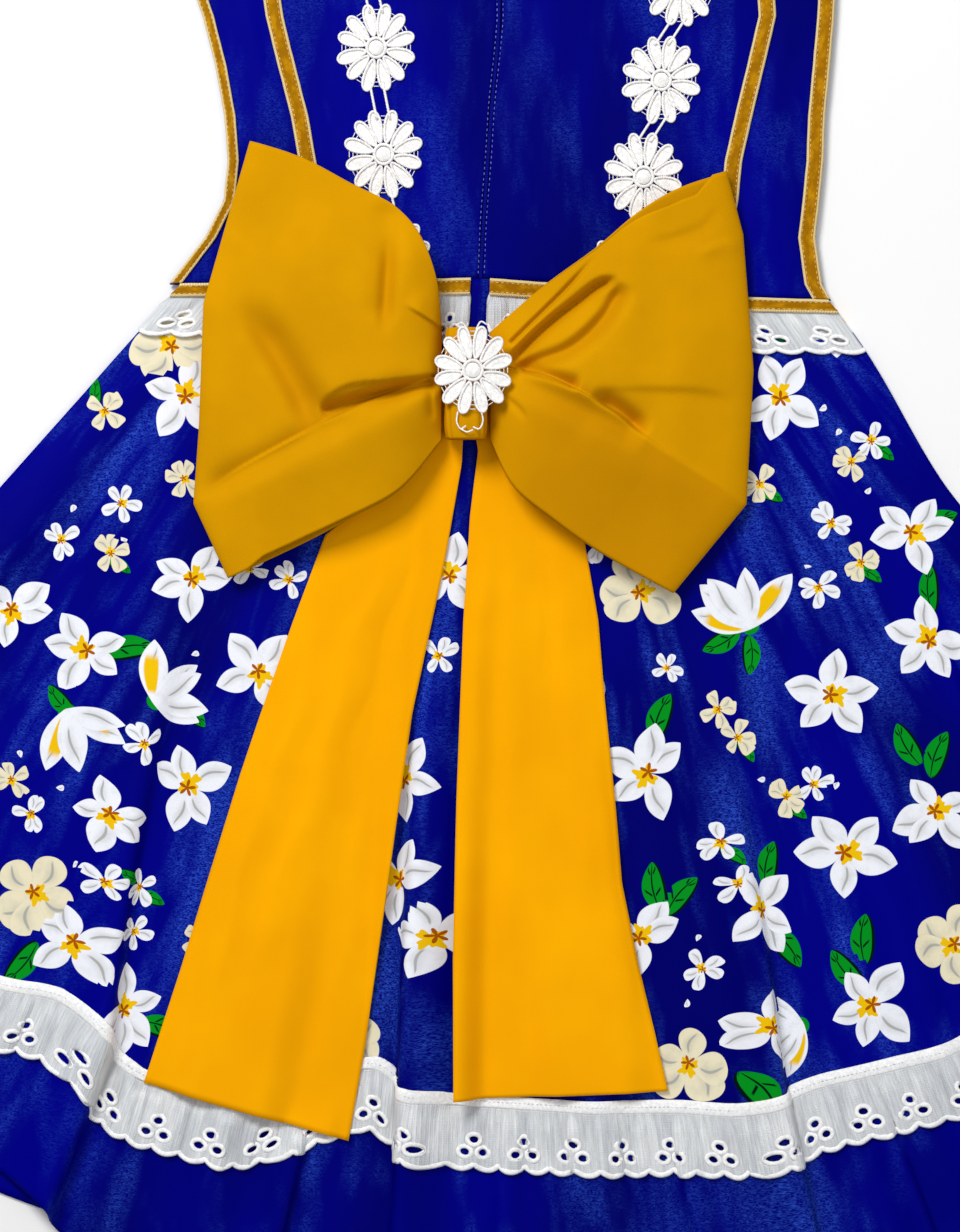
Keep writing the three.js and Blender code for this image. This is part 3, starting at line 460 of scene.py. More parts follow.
BLUE, BLUE_LIT, BLUE_DEEP = rgb(0, 0, 128), rgb(44, 82, 200), rgb(0, 0, 102)


def along_rays(paint, where, across, down):
    """Coordinates that run along the skirt's rays, for streaks that follow the folds."""
    x, y, _ = paint.split(where)
    depth = APEX_Y * MM - y
    radius = (x * x + depth * depth).root()
    return paint.node("CombineXYZ", {0: x.angle(depth) * across, 1: radius * down}).outputs[0]


def blue_cloth(paint, where, sheen_amount=1.0, rays=None):
    """Blue crepe; along the folds the weave catches the light in speckled streaks."""
    rays = rays or along_rays(paint, where, 0.55, 0.22)
    streak = paint.noise(rays, 26.0, 3.0, 0.65).step(0.46, 0.68)
    hatch = paint.noise(where, 520.0, 2.0, 0.75, (0.5, 1.0, 1.0)).step(0.42, 0.7)
    speck = paint.noise(where, 1500.0, 1.0, 0.5, (0.45, 1.0, 1.0)).step(0.42, 0.66)
    shade = paint.noise(rays, 11.0, 2.0, 0.5)
    base = paint.mix(shade.step(0.36, 0.62), BLUE_DEEP, BLUE)
    return paint.mix(streak * (hatch * 0.5 + speck * 0.6) * sheen_amount, base, BLUE_LIT)


def finish_cloth(paint, where, wrinkles, size):
    grain = paint.noise(where, 1400.0, 2.0, 0.6, (0.5, 1, 1))
    paint.bump(grain * 0.1 + wrinkles, size, 0.5)
    paint.rough(grain * 0.2 + 0.46)


def crepe_material(name, upright):
    paint = Paint(name, 0.6, Specular_IOR_Level=0.02)
    where = paint.uv()
    rays = paint.stretched(where, (1.0, 0.3, 1.0)) if upright else None
    paint.colour(blue_cloth(paint, where, 0.4 if upright else 0.9, rays))
    finish_cloth(paint, where, paint.noise(where, 22.0, 3.0, 0.6, (1.0, 0.35, 1.0)), 0.0016)
    return paint.material


# Print: a motif's own coordinates reach 1 at its petal tips. Codes are kind * 100 + seed; kinds:
# 0 white star flower, 1 cream round flower, 2 lily from the side, 3 one loose petal.
WHITE_INK, CREAM_INK, GREY_INK = rgb(234, 236, 244), rgb(230, 221, 190), rgb(158, 160, 156)
YELLOW_INK, BROWN_INK = rgb(232, 186, 8), rgb(164, 82, 8)
GREEN_INK, DARK_INK = rgb(4, 140, 30), rgb(0, 20, 22)
FIFTH = 2 * math.pi / 5


def petals(paint, vector, under, wide, base, tip):
    """Five-petalled flowers over the colour `under`; a petal is t^base * (1 - t)^tip wide."""
    x, y, code = paint.split(vector)
    code = (code + 0.5).floor()
    kind = (code / 100).floor()
    cream, lily, loose = (kind.equals(number) for number in (1.0, 2.0, 3.0))
    known = code.above(-0.5)
    seed = code * 1.37
    y = y + lily * 0.5
    soft_tip = tip * (1 - cream * 0.4)
    shade = paint.noise(vector, 3.0, 2.0, 0.6)
    ink = paint.mix(cream, WHITE_INK, CREAM_INK)
    ink = paint.mix(shade.step(0.45, 0.75) * 0.18, ink, GREY_INK)
    calyx = (x * x + (y - 0.1).pow(2.0)).root().step(0.22, 0.2) * lily
    colour = paint.mix(calyx, under, GREEN_INK)
    for i in (0, 4, 1, 3, 2):
        chance, other = paint.random(seed + i * 7.31), paint.random(seed + i * 3.17 + 0.5)
        turn = (FIFTH - lily * 0.82) * (i - 2) + (chance - 0.5) * 0.5
        cos, sin = turn.cos(), turn.sin()
        reach = 0.86 + other * 0.2 + loose * 0.1 + lily * 0.45
        t = (x * sin + y * cos) / reach
        bent = x * cos - y * sin - (chance - 0.5) * 0.5 * (t * t)
        ahead = t.step(0.0, 0.02) * t.step(1.0, 0.99)
        t = t.most(0.0001).least(0.9999)
        ends = t.pow(base) * (1 - t).pow(soft_tip)
        body = ends * wide * (1.0 + (other - 0.5) * 0.3 + loose * 0.5)
        side = bent / body.most(0.001)
        edge = side.abs()
        inside = edge.step(1.0, 0.96) * ahead
        if i != 2:
            inside = inside * (1 - loose)
        curve = side - (0.30 - (t - 0.45) * (t - 0.45) * 3.4) * (chance - 0.5).sign()
        stroke = curve.abs().step(0.13, 0.03) * t.step(0.26, 0.36) * t.step(0.92, 0.78)
        hollow = curve.abs().step(0.62, 0.0) * t.step(0.2, 0.5) * t.step(1.0, 0.6) * 0.35
        grey = (stroke * 0.75 + hollow + edge.step(0.9, 1.0) * 0.25).least(0.9)
        tone = paint.mix(grey, ink, GREY_INK)
        if i in (0, 4):
            gold = lily * t.step(0.12, 0.22) * t.step(0.8, 0.66)
            gold = gold * (side + 0.2).abs().step(0.55, 0.4)
            tone = paint.mix(gold, tone, YELLOW_INK)
        colour = paint.mix(inside * known, colour, tone)
    open_flower = known * (1 - lily) * (1 - loose)
    lean = paint.random(seed + 0.77) * 6.28
    px, py = x - lean.cos() * 0.09, y - lean.sin() * 0.09
    angle = py.angle(px)
    patch = (angle * 4 + seed).sin() * 0.06 + 0.21 + (angle * 9 + seed).sin() * 0.035
    patch = patch - (px * px + py * py).root()
    colour = paint.mix(patch.step(0.0, 0.012) * open_flower, colour, YELLOW_INK)
    qx, qy = x + lean.cos() * 0.03, y + lean.sin() * 0.03
    heart = (qy.angle(qx) * 5 + seed * 2).sin() * 0.075 + 0.115 - (qx * qx + qy * qy).root()
    return paint.mix(heart.step(0.0, 0.012) * open_flower, colour, BROWN_INK)


def leaf_shape(x, y):
    """Share of the width from midrib to edge, and place from stalk to tip."""
    t = (y * 0.5 + 0.5).most(0.0001).least(0.9999)
    body = t.pow(0.7) * (1 - t).pow(0.8) * 1.25
    return (x + (t * math.pi).sin() * 0.16) / body.most(0.001), t


def leaves(paint, vector, under):
    """Green pointed leaves with dark veins and a dark edge on one side."""
    x, y, code = paint.split(vector)
    within = y.abs().step(1.0, 0.98) * code.above(-0.5)
    shadow, _ = leaf_shape(x - 0.07, y + 0.02)
    side, t = leaf_shape(x, y)
    edge = side.abs()
    veins = (edge * 3.4 - t * 15.0).sin().step(0.86, 0.98)
    veins = veins * edge.step(0.8, 0.6) * edge.step(0.12, 0.2)
    ink = paint.mix((edge.step(0.1, 0.04) + veins).least(1.0), GREEN_INK, DARK_INK)
    colour = paint.mix(shadow.abs().step(1.06, 1.0) * within, under, DARK_INK)
    return paint.mix(edge.step(0.97, 0.9) * within, colour, ink)


def print_material():
    paint = Paint("flower_print", 0.6, Specular_IOR_Level=0.02)
    where = paint.uv()
    colour = blue_cloth(paint, where)
    colour = leaves(paint, paint.attribute("leaf"), colour)
    colour = petals(paint, paint.attribute("small"), colour, 0.6, 0.95, 0.4)
    colour = petals(paint, paint.attribute("big"), colour, 1.22, 1.1, 0.98)
    paint.colour(colour)
    finish_cloth(paint, where, paint.noise(where, 16.0, 3.0, 0.55, (1.0, 0.3, 1.0)), 0.0014)
    return paint.material


def bow_material(name, scales, low, high, light, stretch, strength, painted_shade=None):
    """The bow's cloth; scales are of its tone and creases, and the last colour is painted shade,
    which a point attribute lays in the loops' hollows and on the right loop's lower band.
    """
    paint = Paint(name, 0.85, Specular_IOR_Level=0.03)
    where = paint.uv()
    fuzz = paint.noise(where, 1100.0, 2.0, 0.7)
    base = paint.mix(paint.noise(where, scales[0]).step(0.35, 0.75), low, high)
    # Painted shade: darker where the point attribute says, in the loops' hollows and on a lower
    # band.
    if painted_shade:
        base = paint.mix(paint.attribute("painted_shade", "Fac"), base, painted_shade)
    share, glow = light
    paint.colour(paint.mix(fuzz.step(0.5, 0.8) * share, base, glow))
    paint.bump(fuzz * 0.1 + paint.noise(where, scales[1], stretch=stretch), 0.0012, strength)
    return paint.material


def lace_material():
    paint = Paint("eyelet_cotton", 0.85, Sheen_Weight=0.2, Subsurface_Weight=0.1)
    where = paint.uv()
    gathers = paint.noise(where, 330.0, 3.0, 0.6, (1.0, 0.09, 1.0))
    # Painted shade: the cotton turns grey in streaks along the gathers and in broader patches, for
    # the shade of its soft folds.
    grey = paint.noise(where, 60.0, 3.0, 0.6, (1.0, 0.3, 1.0)) * 0.5 + gathers * 0.5
    paint.colour(paint.mix(grey.step(0.36, 0.66), rgb(204, 204, 208), rgb(242, 241, 240)))
    paint.bump(weave(paint, where, 0.0007) * 0.3 + gathers * 1.4, 0.0014, 0.8)
    return paint.material


def thread_material(name, low, high):
    """Embroidery or cord: fine slanting strands."""
    paint = Paint(name, 0.7, Sheen_Weight=0.2)
    where = paint.place()
    fleck = paint.noise(where, 500.0, 2.0, 0.6)
    paint.colour(paint.mix(fleck.step(0.35, 0.65), low, high))
    x, y, _ = paint.split(where)
    paint.bump((x * 5200.0 + y * 4100.0).wave() + fleck * 0.6, 0.0003, 0.6)
    return paint.material


def velvet_material():
    """Velvet ribbon; the uv runs across from 0 to 10 mm and along."""
    paint = Paint("velvet", 0.8, Sheen_Weight=0.4, Sheen_Roughness=0.35, Specular_IOR_Level=0.05,
                  Sheen_Tint=(1.0, 0.85, 0.45, 1.0))
    where = paint.uv()
    across, along, _ = paint.split(where)
    pile = paint.noise(where, 2200.0, 2.0, 0.7)
    rubbed = paint.noise(where, 180.0, 3.0, 0.6, (1.0, 0.5, 1.0)).step(0.4, 0.75)
    base = paint.mix(rubbed, rgb(150, 100, 0), rgb(194, 138, 8))
    from_middle = (across - RIBBON_WIDTH * MM / 2).abs()
    cord = from_middle.step(0.0037, 0.0042)
    twist = (along * 5200.0 + from_middle * 4000.0).wave()
    gilt = paint.mix(twist, rgb(205, 176, 110), rgb(240, 222, 170))
    paint.colour(paint.mix(cord, base, gilt))
    paint.bump(pile * 0.5 + cord * twist, 0.0004, 0.6)
    return paint.material


def zip_material():
    paint = Paint("zip_tape", 0.6, Specular_IOR_Level=0.05)
    coil = (paint.split(paint.place())[1] * 2 * math.pi / 0.0014).wave()
    paint.colour(paint.mix(coil, rgb(0, 2, 104), rgb(4, 10, 136)))
    paint.bump(coil, 0.0005, 0.8)
    return paint.material


def enamel_material():
    paint = Paint("zip_enamel", 0.32, Metallic=0.3, Coat_Weight=0.4)
    where = paint.place()
    worn = paint.noise(where, 700.0, 4.0, 0.7).step(0.6, 0.8)
    paint.colour(paint.mix(worn, rgb(4, 10, 110), rgb(60, 72, 150)))
    paint.bump(paint.noise(where, 1500.0, 2.0), 0.0001, 0.4)
    return paint.material


CREPE = crepe_material("crepe", False)
BODICE_CREPE = crepe_material("bodice_crepe", True)
PRINT = print_material()
# The bow's last colour, rgb(186, 124, 0), is its painted shade.
BOW = bow_material("bow_cloth", (14.0, 26.0), rgb(196, 137, 0), rgb(208, 146, 0),
                   (0.15, rgb(236, 176, 8)), None, 0.5, rgb(186, 124, 0))
# Painted light: the tails' colours are the bow's cloth painted lighter, for the brighter light that
# falls on the tails.
TAIL = bow_material("tail_cloth", (10.0, 20.0), rgb(239, 161, 0), rgb(246, 170, 0),
                    (0.12, rgb(255, 190, 10)), (1.0, 0.4, 1.0), 0.45)
COTTON = lace_material()
EMBROIDERY = thread_material("embroidery", rgb(236, 237, 240), rgb(254, 254, 252))
GUIPURE = thread_material("guipure_thread", rgb(232, 230, 229), rgb(252, 250, 247))
VELVET = velvet_material()
GILT_STITCH = thread_material("gilt_stitch", rgb(196, 150, 60), rgb(238, 206, 130))
BOW_STITCH = thread_material("bow_stitch", rgb(168, 104, 6), rgb(206, 140, 20))
BLUE_STITCH = thread_material("blue_stitch", rgb(60, 72, 190), rgb(120, 134, 232))
WHITE_STITCH = thread_material("white_stitch", rgb(190, 192, 204), rgb(250, 250, 250))


# ---- creases: soft ridges (+) and troughs (-) from one place to another ----
# x, y, to x, to y, height, half width
BODICE_CREASES = [
    (-150, 190, -120, 20, 0.9, 9), (-108, 180, -96, 30, -0.8, 8), (-46, 300, -38, 60, 0.8, 10),
    (-30, 150, -60, 20, -0.7, 8), (28, 260, 34, 30, 0.8, 11), (52, 120, 96, 18, -0.8, 8),
    (120, 180, 112, 30, 0.7, 8), (168, 180, 150, 30, 0.9, 9), (180, 120, 150, 60, -0.8, 7),
    (-150, 330, -60, 210, 0.7, 14), (150, 330, 60, 220, 0.7, 14), (-20, 390, -22, 220, 0.6, 10),
]
SKIRT_CREASES = [
    (-60, -60, -178, -350, 1.2, 9), (-120, -60, -196, -260, -1.0, 8),
    (-30, -120, -70, -330, 1.0, 8),
    (52, -60, 96, -330, 1.3, 10), (95, -60, 180, -300, -1.0, 9), (150, -50, 262, -300, 1.2, 9),
    (20, -130, 30, -300, 0.9, 7), (-200, -60, -340, -300, 1.1, 12), (230, -60, 350, -260, 1.1, 11),
    (190, -260, 240, -430, 1.2, 8), (60, -330, 66, -470, -0.9, 7), (-290, -300, -360, -440, 1.0, 9),
    (-130, -280, -150, -440, 1.1, 7), (310, -240, 380, -400, 1.0, 10),
]


def crease_place(x, y, x0, y0, x1, y1):
    """Share of the way along a crease, and distance aside from it."""
    length = math.hypot(x1 - x0, y1 - y0)
    along = (x - x0) * (x1 - x0) + (y - y0) * (y1 - y0)
    return along / length ** 2, ((x - x0) * (y1 - y0) - (y - y0) * (x1 - x0)) / length


CREASE_FADE, FOLD_FADE = 0.25, 0.15


def creases(table, x, y):
    lift = np.zeros_like(x)
    bend = wobble(x, y, 3, 90.0) * 3.0
    for x0, y0, x1, y1, high, half in table:
        t, off = crease_place(x, y, x0, y0, x1, y1)
        off = off + bend
        sharp = np.where(off > 0, 0.7, 1.3) * half
        ends = smooth(t / CREASE_FADE), smooth((1 - t) / CREASE_FADE)
        lift += high * np.exp(-(off / sharp) ** 2) * ends[0] * ends[1]
    return lift


# ---- bodice ----
WAIST_FLAT, END_RISE, SEAM_FLAT, SEAM_RISE = 6, 25, 5, 12
FRONT_NECK_DEPTH = 70.0
PANEL_LOW, PANEL_HIGH = 6, 390


def bodice_lift(x, y):
    """What the laid bodice rises above its flat back; it stays down along the seams."""
    clear = smooth((y - back_waist_y(x) - WAIST_FLAT) / END_RISE)
    clear = clear * smooth((top_y(x, BACK_NECK_DEPTH) - y) / END_RISE)
    for column in COLUMNS:
        clear = clear * smooth((np.abs(x - seam_x(column, y)) - SEAM_FLAT) / SEAM_RISE)
    return clear * (0.5 + creases(BODICE_CREASES, x, y) * 0.8 + wobble(x, y, 11, 60.0) * 0.35)


def back_bodice_z(x, y):
    from_side = np.minimum(x - seam_x("side_left", y), seam_x("side_right", y) - x)
    from_top = np.where(np.abs(x) > NECK_HALF, top_y(x, 0) - y, EDGE_ROUND)
    near_waist = smooth((y - back_waist_y(x) - 8) / EDGE_ROUND)
    inside = smooth(np.minimum(from_side, from_top) / EDGE_ROUND)
    return BACK_BASE - SIDE_DROP * (1 - inside) * near_waist + bodice_lift(x, y)


def front_bodice_z(x, y):
    return FRONT_STEP * (1 - smooth((y - front_waist_y(x) - STEP_CLEAR) / EDGE_ROUND))


def build_panel(node, left, right, waist_y, neck_depth, z, nu, nv, shift=(0, 0)):
    """A bodice panel between two seams, v from waist to top."""
    u = np.linspace(0, 1, nu)[:, None]
    low, high = (lerp(seam_x(left, y) + shift[0], seam_x(right, y) + shift[1], u)
                 for y in (PANEL_LOW, PANEL_HIGH))
    y = lerp(waist_y(low), top_y(high, neck_depth), np.linspace(0, 1, nv)[None, :])
    x = lerp(seam_x(left, y) + shift[0] + SEAM / 2, seam_x(right, y) + shift[1] - SEAM / 2, u)
    p = np.stack([x, y, z(x, y)], -1)
    piece = cloth(node + "_cloth", p, p[..., :2], 0, CLOTH, BODICE_CREPE)
    sheet(piece, node, p)


def panel_cut(p):
    """Width and length of the flat cut of a grid of points, and its area, in metres."""
    du, dv = p[1:, :-1] - p[:-1, :-1], p[:-1, 1:] - p[:-1, :-1]
    area = np.linalg.norm(np.cross(du, dv), axis=-1).sum() * MM * MM
    width = np.linalg.norm(p[1:] - p[:-1], axis=-1).sum(0).max() * MM
    length = np.linalg.norm(p[:, 1:] - p[:, :-1], axis=-1).sum(1).max() * MM
    flat = max(round(width, 3), 0.01), max(round(length, 3), 0.01)
    return flat, round(float(min(area, 0.99 * flat[0] * flat[1])), 5)


def sheet(piece, node, p, with_pieces=()):
    flat, area = panel_cut(p)
    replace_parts(piece, node)


def build_bodice():
    for name, left, right, shift, nu in (
        ("side_left", "side_left", "princess_left", (0, 0), 40),
        ("centre_left", "princess_left", "zip", (0, -ZIP_HALF), 58),
        ("centre_right", "zip", "princess_right", (ZIP_HALF, 0), 58),
        ("side_right", "princess_right", "side_right", (0, 0), 40),
    ):
        build_panel("bodice_back_" + name, left, right, back_waist_y, BACK_NECK_DEPTH,
                    back_bodice_z, nu, 104, shift)
    build_panel("bodice_front", "side_left", "side_right", front_waist_y, FRONT_NECK_DEPTH,
                front_bodice_z, 64, 64)


# ---- skirt and flounce ----
def laid_back_at(q, r):
    """The back surface with its soft creases."""
    p = back_at(q, r)
    deg = side_angle(q, r)
    below = r - waist_radius(deg, back_waist_y)
    side = side_angle(np.where(q < 0, -1, 1), r)
    edge = smooth((np.radians(np.abs(side - deg)) * r - 6) / 20)
    free = smooth((below - 45) / 40) * edge * smooth((FLOUNCE_DEPTH + 712 - r) / 10 + 0.4)
    p[..., 2] += free * (0.5 + creases(SKIRT_CREASES, p[..., 0], p[..., 1]) * 0.8
                         + wobble(p[..., 0], p[..., 1], 21, 70.0) * 0.35)
    return p


def flat_place(q, r):
    """Place on the cloth spread flat, before folds lean."""
    a = np.radians(side_angle(q, r))
    return np.stack([r * np.sin(a), APEX_Y - r * np.cos(a)], -1)


def back_band(name, outer, inner, nu, nv, material):
    q = np.linspace(-1, 1, nu)
    p, flat = back_grid(q, outer(q), inner(q), nv)
    return cloth(name, p, flat, 0, CLOTH, material), p


def build_skirt_back():
    piece, p = back_band("skirt_back_cloth", lambda q: hem_seam(q) - HEM_GAP,
                         lambda q: waist_at(q) + SKIRT_START, 240, 110, PRINT)
    lay_print(piece.data)
    sheet(piece, "skirt_back", p)


def build_flounce_back():
    piece, p = back_band("flounce_back_cloth", lambda q: hem_seam(q) + FLOUNCE_DEPTH, hem_seam,
                         300, 30, CREPE)
    sheet(piece, "flounce_back", p)


# ---- front of the skirt, flat on the surface ----
def front_band(outer, inner, z_of_down, nu, nv):
    q = np.repeat(np.linspace(-1, 1, nu)[:, None], nv, 1)
    start = inner(q)
    down = (outer(q) - start) * (1 - np.linspace(0, 1, nv)[None, :])
    return np.concatenate([flat_place(q, start + down), z_of_down(down)[..., None]], -1)


def step_down(depth):
    return lambda down: FRONT_STEP * (1 - smooth((down - depth) / EDGE_ROUND))


TRIM_DEPTH = RIBBON_WIDTH + FRILL_DEPTH
STEP_CLEAR = 3
FRONT_SCALLOP, FRONT_LACE_ROWS = 2.4, 12
FRONT_FRILL_REPEATS, FRONT_HEM_REPEATS = 20, 28


def scallop(turns, depth):
    return depth * (1 - np.abs(np.sin(math.pi * turns)) ** 0.8)


def front_sheet(node, suffix, p, thick, material, uv=None):
    uv = p[..., :2] if uv is None else uv
    piece = cloth(node + suffix, p, uv, 0, thick, material)
    if material is PRINT:
        lay_print(piece.data)
    sheet(piece, node, p)


def front_lace(node, inner, depth, repeats):
    def outer(q):
        return inner(q) + depth - scallop((q + 1) / 2 * repeats, FRONT_SCALLOP)

    nu = repeats * FRONT_LACE_ROWS + 1
    p = front_band(outer, inner, np.zeros_like, nu, FRONT_LACE_ROWS)
    front_sheet(node, "_cotton", p, LACE, COTTON)


def build_front():
    def at_hem(q):
        return FRONT_HEM_SEAM + 0 * q

    def under_ribbon(q):
        return front_waist_at(q) + RIBBON_WIDTH

    p = front_band(lambda q: at_hem(q) - SEAM, lambda q: front_waist_at(q) + SKIRT_START,
                   step_down(TRIM_DEPTH + STEP_CLEAR), 110, 56)
    front_sheet("skirt_front", "_cloth", p, CLOTH, PRINT)
    p = front_band(lambda q: at_hem(q) + FLOUNCE_DEPTH, at_hem,
                   step_down(HEM_LACE_DEPTH + STEP_CLEAR), 130, 28)
    front_sheet("flounce_front", "_cloth", p, CLOTH, CREPE)
    p = front_band(under_ribbon, front_waist_at, np.zeros_like, 80, 9)
    along = np.repeat(p[:, :1, 0], p.shape[1], 1)
    across = np.linspace(0, RIBBON_WIDTH, p.shape[1])[None, :] + 0 * along
    uv = np.stack([across, along], -1)
    front_sheet("waist_ribbon_front", "_velvet", p, RIBBON, VELVET, uv)
    front_lace("waist_lace_front", lambda q: under_ribbon(q) + SEAM, FRILL_DEPTH,
               FRONT_FRILL_REPEATS)
    front_lace("hem_lace_front", at_hem, HEM_LACE_DEPTH, FRONT_HEM_REPEATS)


# ---- the print's chart: places in the photo, in its pixels, set out ----
PHOTO_MM, PHOTO_ORIGIN = 0.6, (500, 300)
# across, down, size, turn in degrees, kind
BIG_FLOWERS = [
    (185, 395, 88, 10, 0), (781, 397, 86, 40, 0), (85, 650, 84, -20, 0), (190, 578, 80, 100, 0),
    (258, 672, 86, 25, 0), (187, 787, 88, 70, 0), (105, 812, 70, 150, 0), (72, 942, 82, 5, 0),
    (122, 1010, 84, 200, 0), (405, 780, 84, 30, 0), (400, 880, 90, 95, 0), (443, 937, 80, -30, 0),
    (832, 695, 88, 60, 0), (930, 640, 86, 15, 0), (648, 773, 90, -10, 0), (937, 811, 84, 120, 0),
    (846, 853, 90, 50, 0), (755, 912, 86, 20, 0), (640, 938, 82, 160, 0), (872, 1006, 88, 35, 0),
    (757, 1030, 78, 75, 0), (10, 610, 80, 45, 0), (450, 575, 78, 80, 0), (915, 530, 80, -40, 0),
    (170, 345, 78, 0, 1), (33, 893, 82, 30, 1), (640, 592, 80, 60, 1), (689, 1065, 76, 20, 1),
    (955, 945, 80, 100, 1), (740, 610, 84, -35, 2), (75, 728, 80, 150, 2), (165, 690, 78, 60, 2),
    (787, 1035, 76, -120, 2), (600, 480, 84, 15, 0), (330, 470, 84, 130, 0), (560, 690, 80, 80, 1),
    (330, 700, 82, 10, 0), (300, 900, 84, 60, 0), (540, 880, 84, -70, 0), (560, 1010, 82, 30, 0),
    (250, 1010, 84, 15, 0), (340, 1040, 78, 50, 1), (690, 470, 80, -15, 0), (410, 400, 84, 45, 0),
]
SMALL_FLOWERS = [
    (104, 410, 40, 0, 1), (120, 503, 40, 30, 0), (60, 540, 40, 60, 0), (110, 553, 38, 10, 1),
    (183, 478, 38, 45, 1), (289, 580, 40, 20, 0), (442, 656, 40, 80, 0), (668, 668, 30, 15, 0),
    (717, 710, 38, 35, 1), (737, 738, 38, 0, 1), (787, 797, 38, 50, 1), (814, 785, 38, 25, 0),
    (717, 843, 40, 70, 0), (730, 886, 38, 10, 0), (703, 970, 40, 40, 0), (873, 440, 40, 15, 0),
    (852, 462, 36, 60, 1), (760, 483, 38, 30, 1), (832, 522, 40, 0, 0), (862, 562, 38, 45, 1),
    (820, 587, 40, 20, 0), (10, 780, 38, 10, 1), (30, 814, 40, 60, 0), (97, 878, 40, 35, 0),
    (138, 887, 40, 0, 0), (132, 932, 38, 50, 0), (137, 740, 40, 15, 0), (250, 568, 38, 65, 0),
    (70, 512, 14, 20, 3), (120, 537, 14, 150, 3), (820, 410, 14, 80, 3), (837, 435, 14, 30, 3),
    (872, 487, 14, 200, 3), (805, 565, 14, 120, 3), (190, 655, 14, 60, 3), (20, 758, 14, 0, 3),
    (55, 788, 14, 90, 3), (72, 868, 14, 45, 3), (697, 942, 14, 10, 3), (688, 1000, 14, 160, 3),
    (835, 790, 14, 30, 3), (758, 780, 14, 100, 3), (600, 545, 38, 20, 0), (350, 560, 38, 40, 1),
    (520, 760, 40, 10, 0), (480, 830, 36, 60, 1), (590, 860, 38, 25, 0), (350, 830, 38, 70, 0),
    (250, 850, 38, 35, 0), (200, 940, 38, 10, 1), (480, 1010, 38, 45, 0), (620, 1040, 36, 20, 0),
]
LEAVES = [
    (128, 650, 46, 80, 0), (20, 963, 46, 220, 0), (160, 1030, 42, 110, 0), (482, 935, 44, 90, 0),
    (935, 588, 44, 0, 0), (662, 718, 46, 20, 0), (910, 745, 44, -30, 0), (940, 755, 44, 20, 0),
    (785, 948, 46, 140, 0), (770, 866, 44, 10, 0), (657, 888, 46, -10, 0), (682, 897, 44, 40, 0),
    (866, 940, 46, 0, 0), (848, 970, 44, -40, 0), (750, 1095, 46, 150, 0), (937, 525, 44, 60, 0),
    (96, 392, 24, 0, 0), (118, 566, 24, 120, 0), (746, 752, 24, 140, 0), (796, 812, 24, 120, 0),
    (727, 858, 24, 130, 0), (884, 452, 24, 120, 0), (771, 496, 24, 110, 0), (871, 575, 24, 120, 0),
    (722, 640, 40, -120, 0), (750, 655, 36, 180, 0), (150, 900, 26, 110, 0), (122, 872, 26, -60, 0),
    (60, 700, 34, -40, 0), (190, 715, 34, 130, 0), (560, 460, 44, -60, 0), (372, 480, 44, 80, 0),
    (300, 740, 44, 200, 0), (520, 905, 44, 220, 0), (600, 1000, 44, 70, 0), (290, 1000, 44, 90, 0),
]
# The cloth outside the photo repeats the chart, moved and mirrored.
REPEATS = [(0, 0, 1), (-560, 6, -1), (566, -8, -1), (4, -452, 1), (-560, -440, -1), (566, -460, -1),
           (0, 420, -1), (-560, 425, 1), (566, 415, 1)]
CHART_MIDDLE_X = -12.0


ZIP_CLEAR_X, ZIP_CLEAR_Y = 48, -62  # no repeated motif lies here, beside the zip
MOTIF_REACH = 2.2


def spread_chart(chart, grow, apart, seed):
    """Motifs in millimetres as rows of x, y, radius, turn, code, over the whole skirt."""
    rng = np.random.default_rng(seed)
    rows = []
    for dx, dy, mirror in REPEATS:
        for px, py, size, turn, kind in chart:
            shown_x = (px - PHOTO_ORIGIN[0]) * PHOTO_MM
            x = CHART_MIDDLE_X + mirror * (shown_x - CHART_MIDDLE_X) + dx
            y = (PHOTO_ORIGIN[1] - py) * PHOTO_MM + dy
            taken = abs(x) < ZIP_CLEAR_X and y > ZIP_CLEAR_Y
            taken = taken or any(math.hypot(x - row[0], y - row[1]) < apart for row in rows)
            if (dx or dy) and taken:
                continue
            code = kind * 100 + int(rng.integers(0, 99))
            rows.append((x, y, size * grow * PHOTO_MM / 2, math.radians(turn * mirror), code))
    return np.array(rows, float)


def lay_print(mesh):
    """Gives each face corner its place in the nearest motif of each layer."""
    corners = np.zeros(len(mesh.loops) * 2, np.float32)
    mesh.uv_layers["cloth"].data.foreach_get("uv", corners)
    corners = corners.reshape(-1, 4, 2) / MM
    centre = corners.mean(1)
    for name, chart, grow, apart, seed in (
        ("big", BIG_FLOWERS, 1.09, 48.0, 5), ("small", SMALL_FLOWERS, 1.05, 22.0, 6),
        ("leaf", LEAVES, 1.12, 26.0, 7),
    ):
        motifs = spread_chart(chart, grow, apart, seed)
        nearest = np.full(len(centre), 9e9)
        owner = np.zeros(len(centre), int)
        for i, (x, y, size, _, _) in enumerate(motifs):
            distance = np.hypot(centre[:, 0] - x, centre[:, 1] - y) / size
            closer = distance < nearest
            nearest[closer], owner[closer] = distance[closer], i
        code = np.where(nearest < MOTIF_REACH, motifs[owner, 4], -1)[:, None]
        x, y, size, turn = motifs[owner, :4].T[..., None]
        dx, dy = corners[..., 0] - x, corners[..., 1] - y
        cos, sin = np.cos(turn), np.sin(turn)
        local = np.stack([(dx * cos - dy * sin) / size, (dx * sin + dy * cos) / size,
                          code + 0 * dx], -1)
        attribute = mesh.attributes.new(name, "FLOAT_VECTOR", "CORNER")
        attribute.data.foreach_set("vector", local.astype(np.float32).ravel())


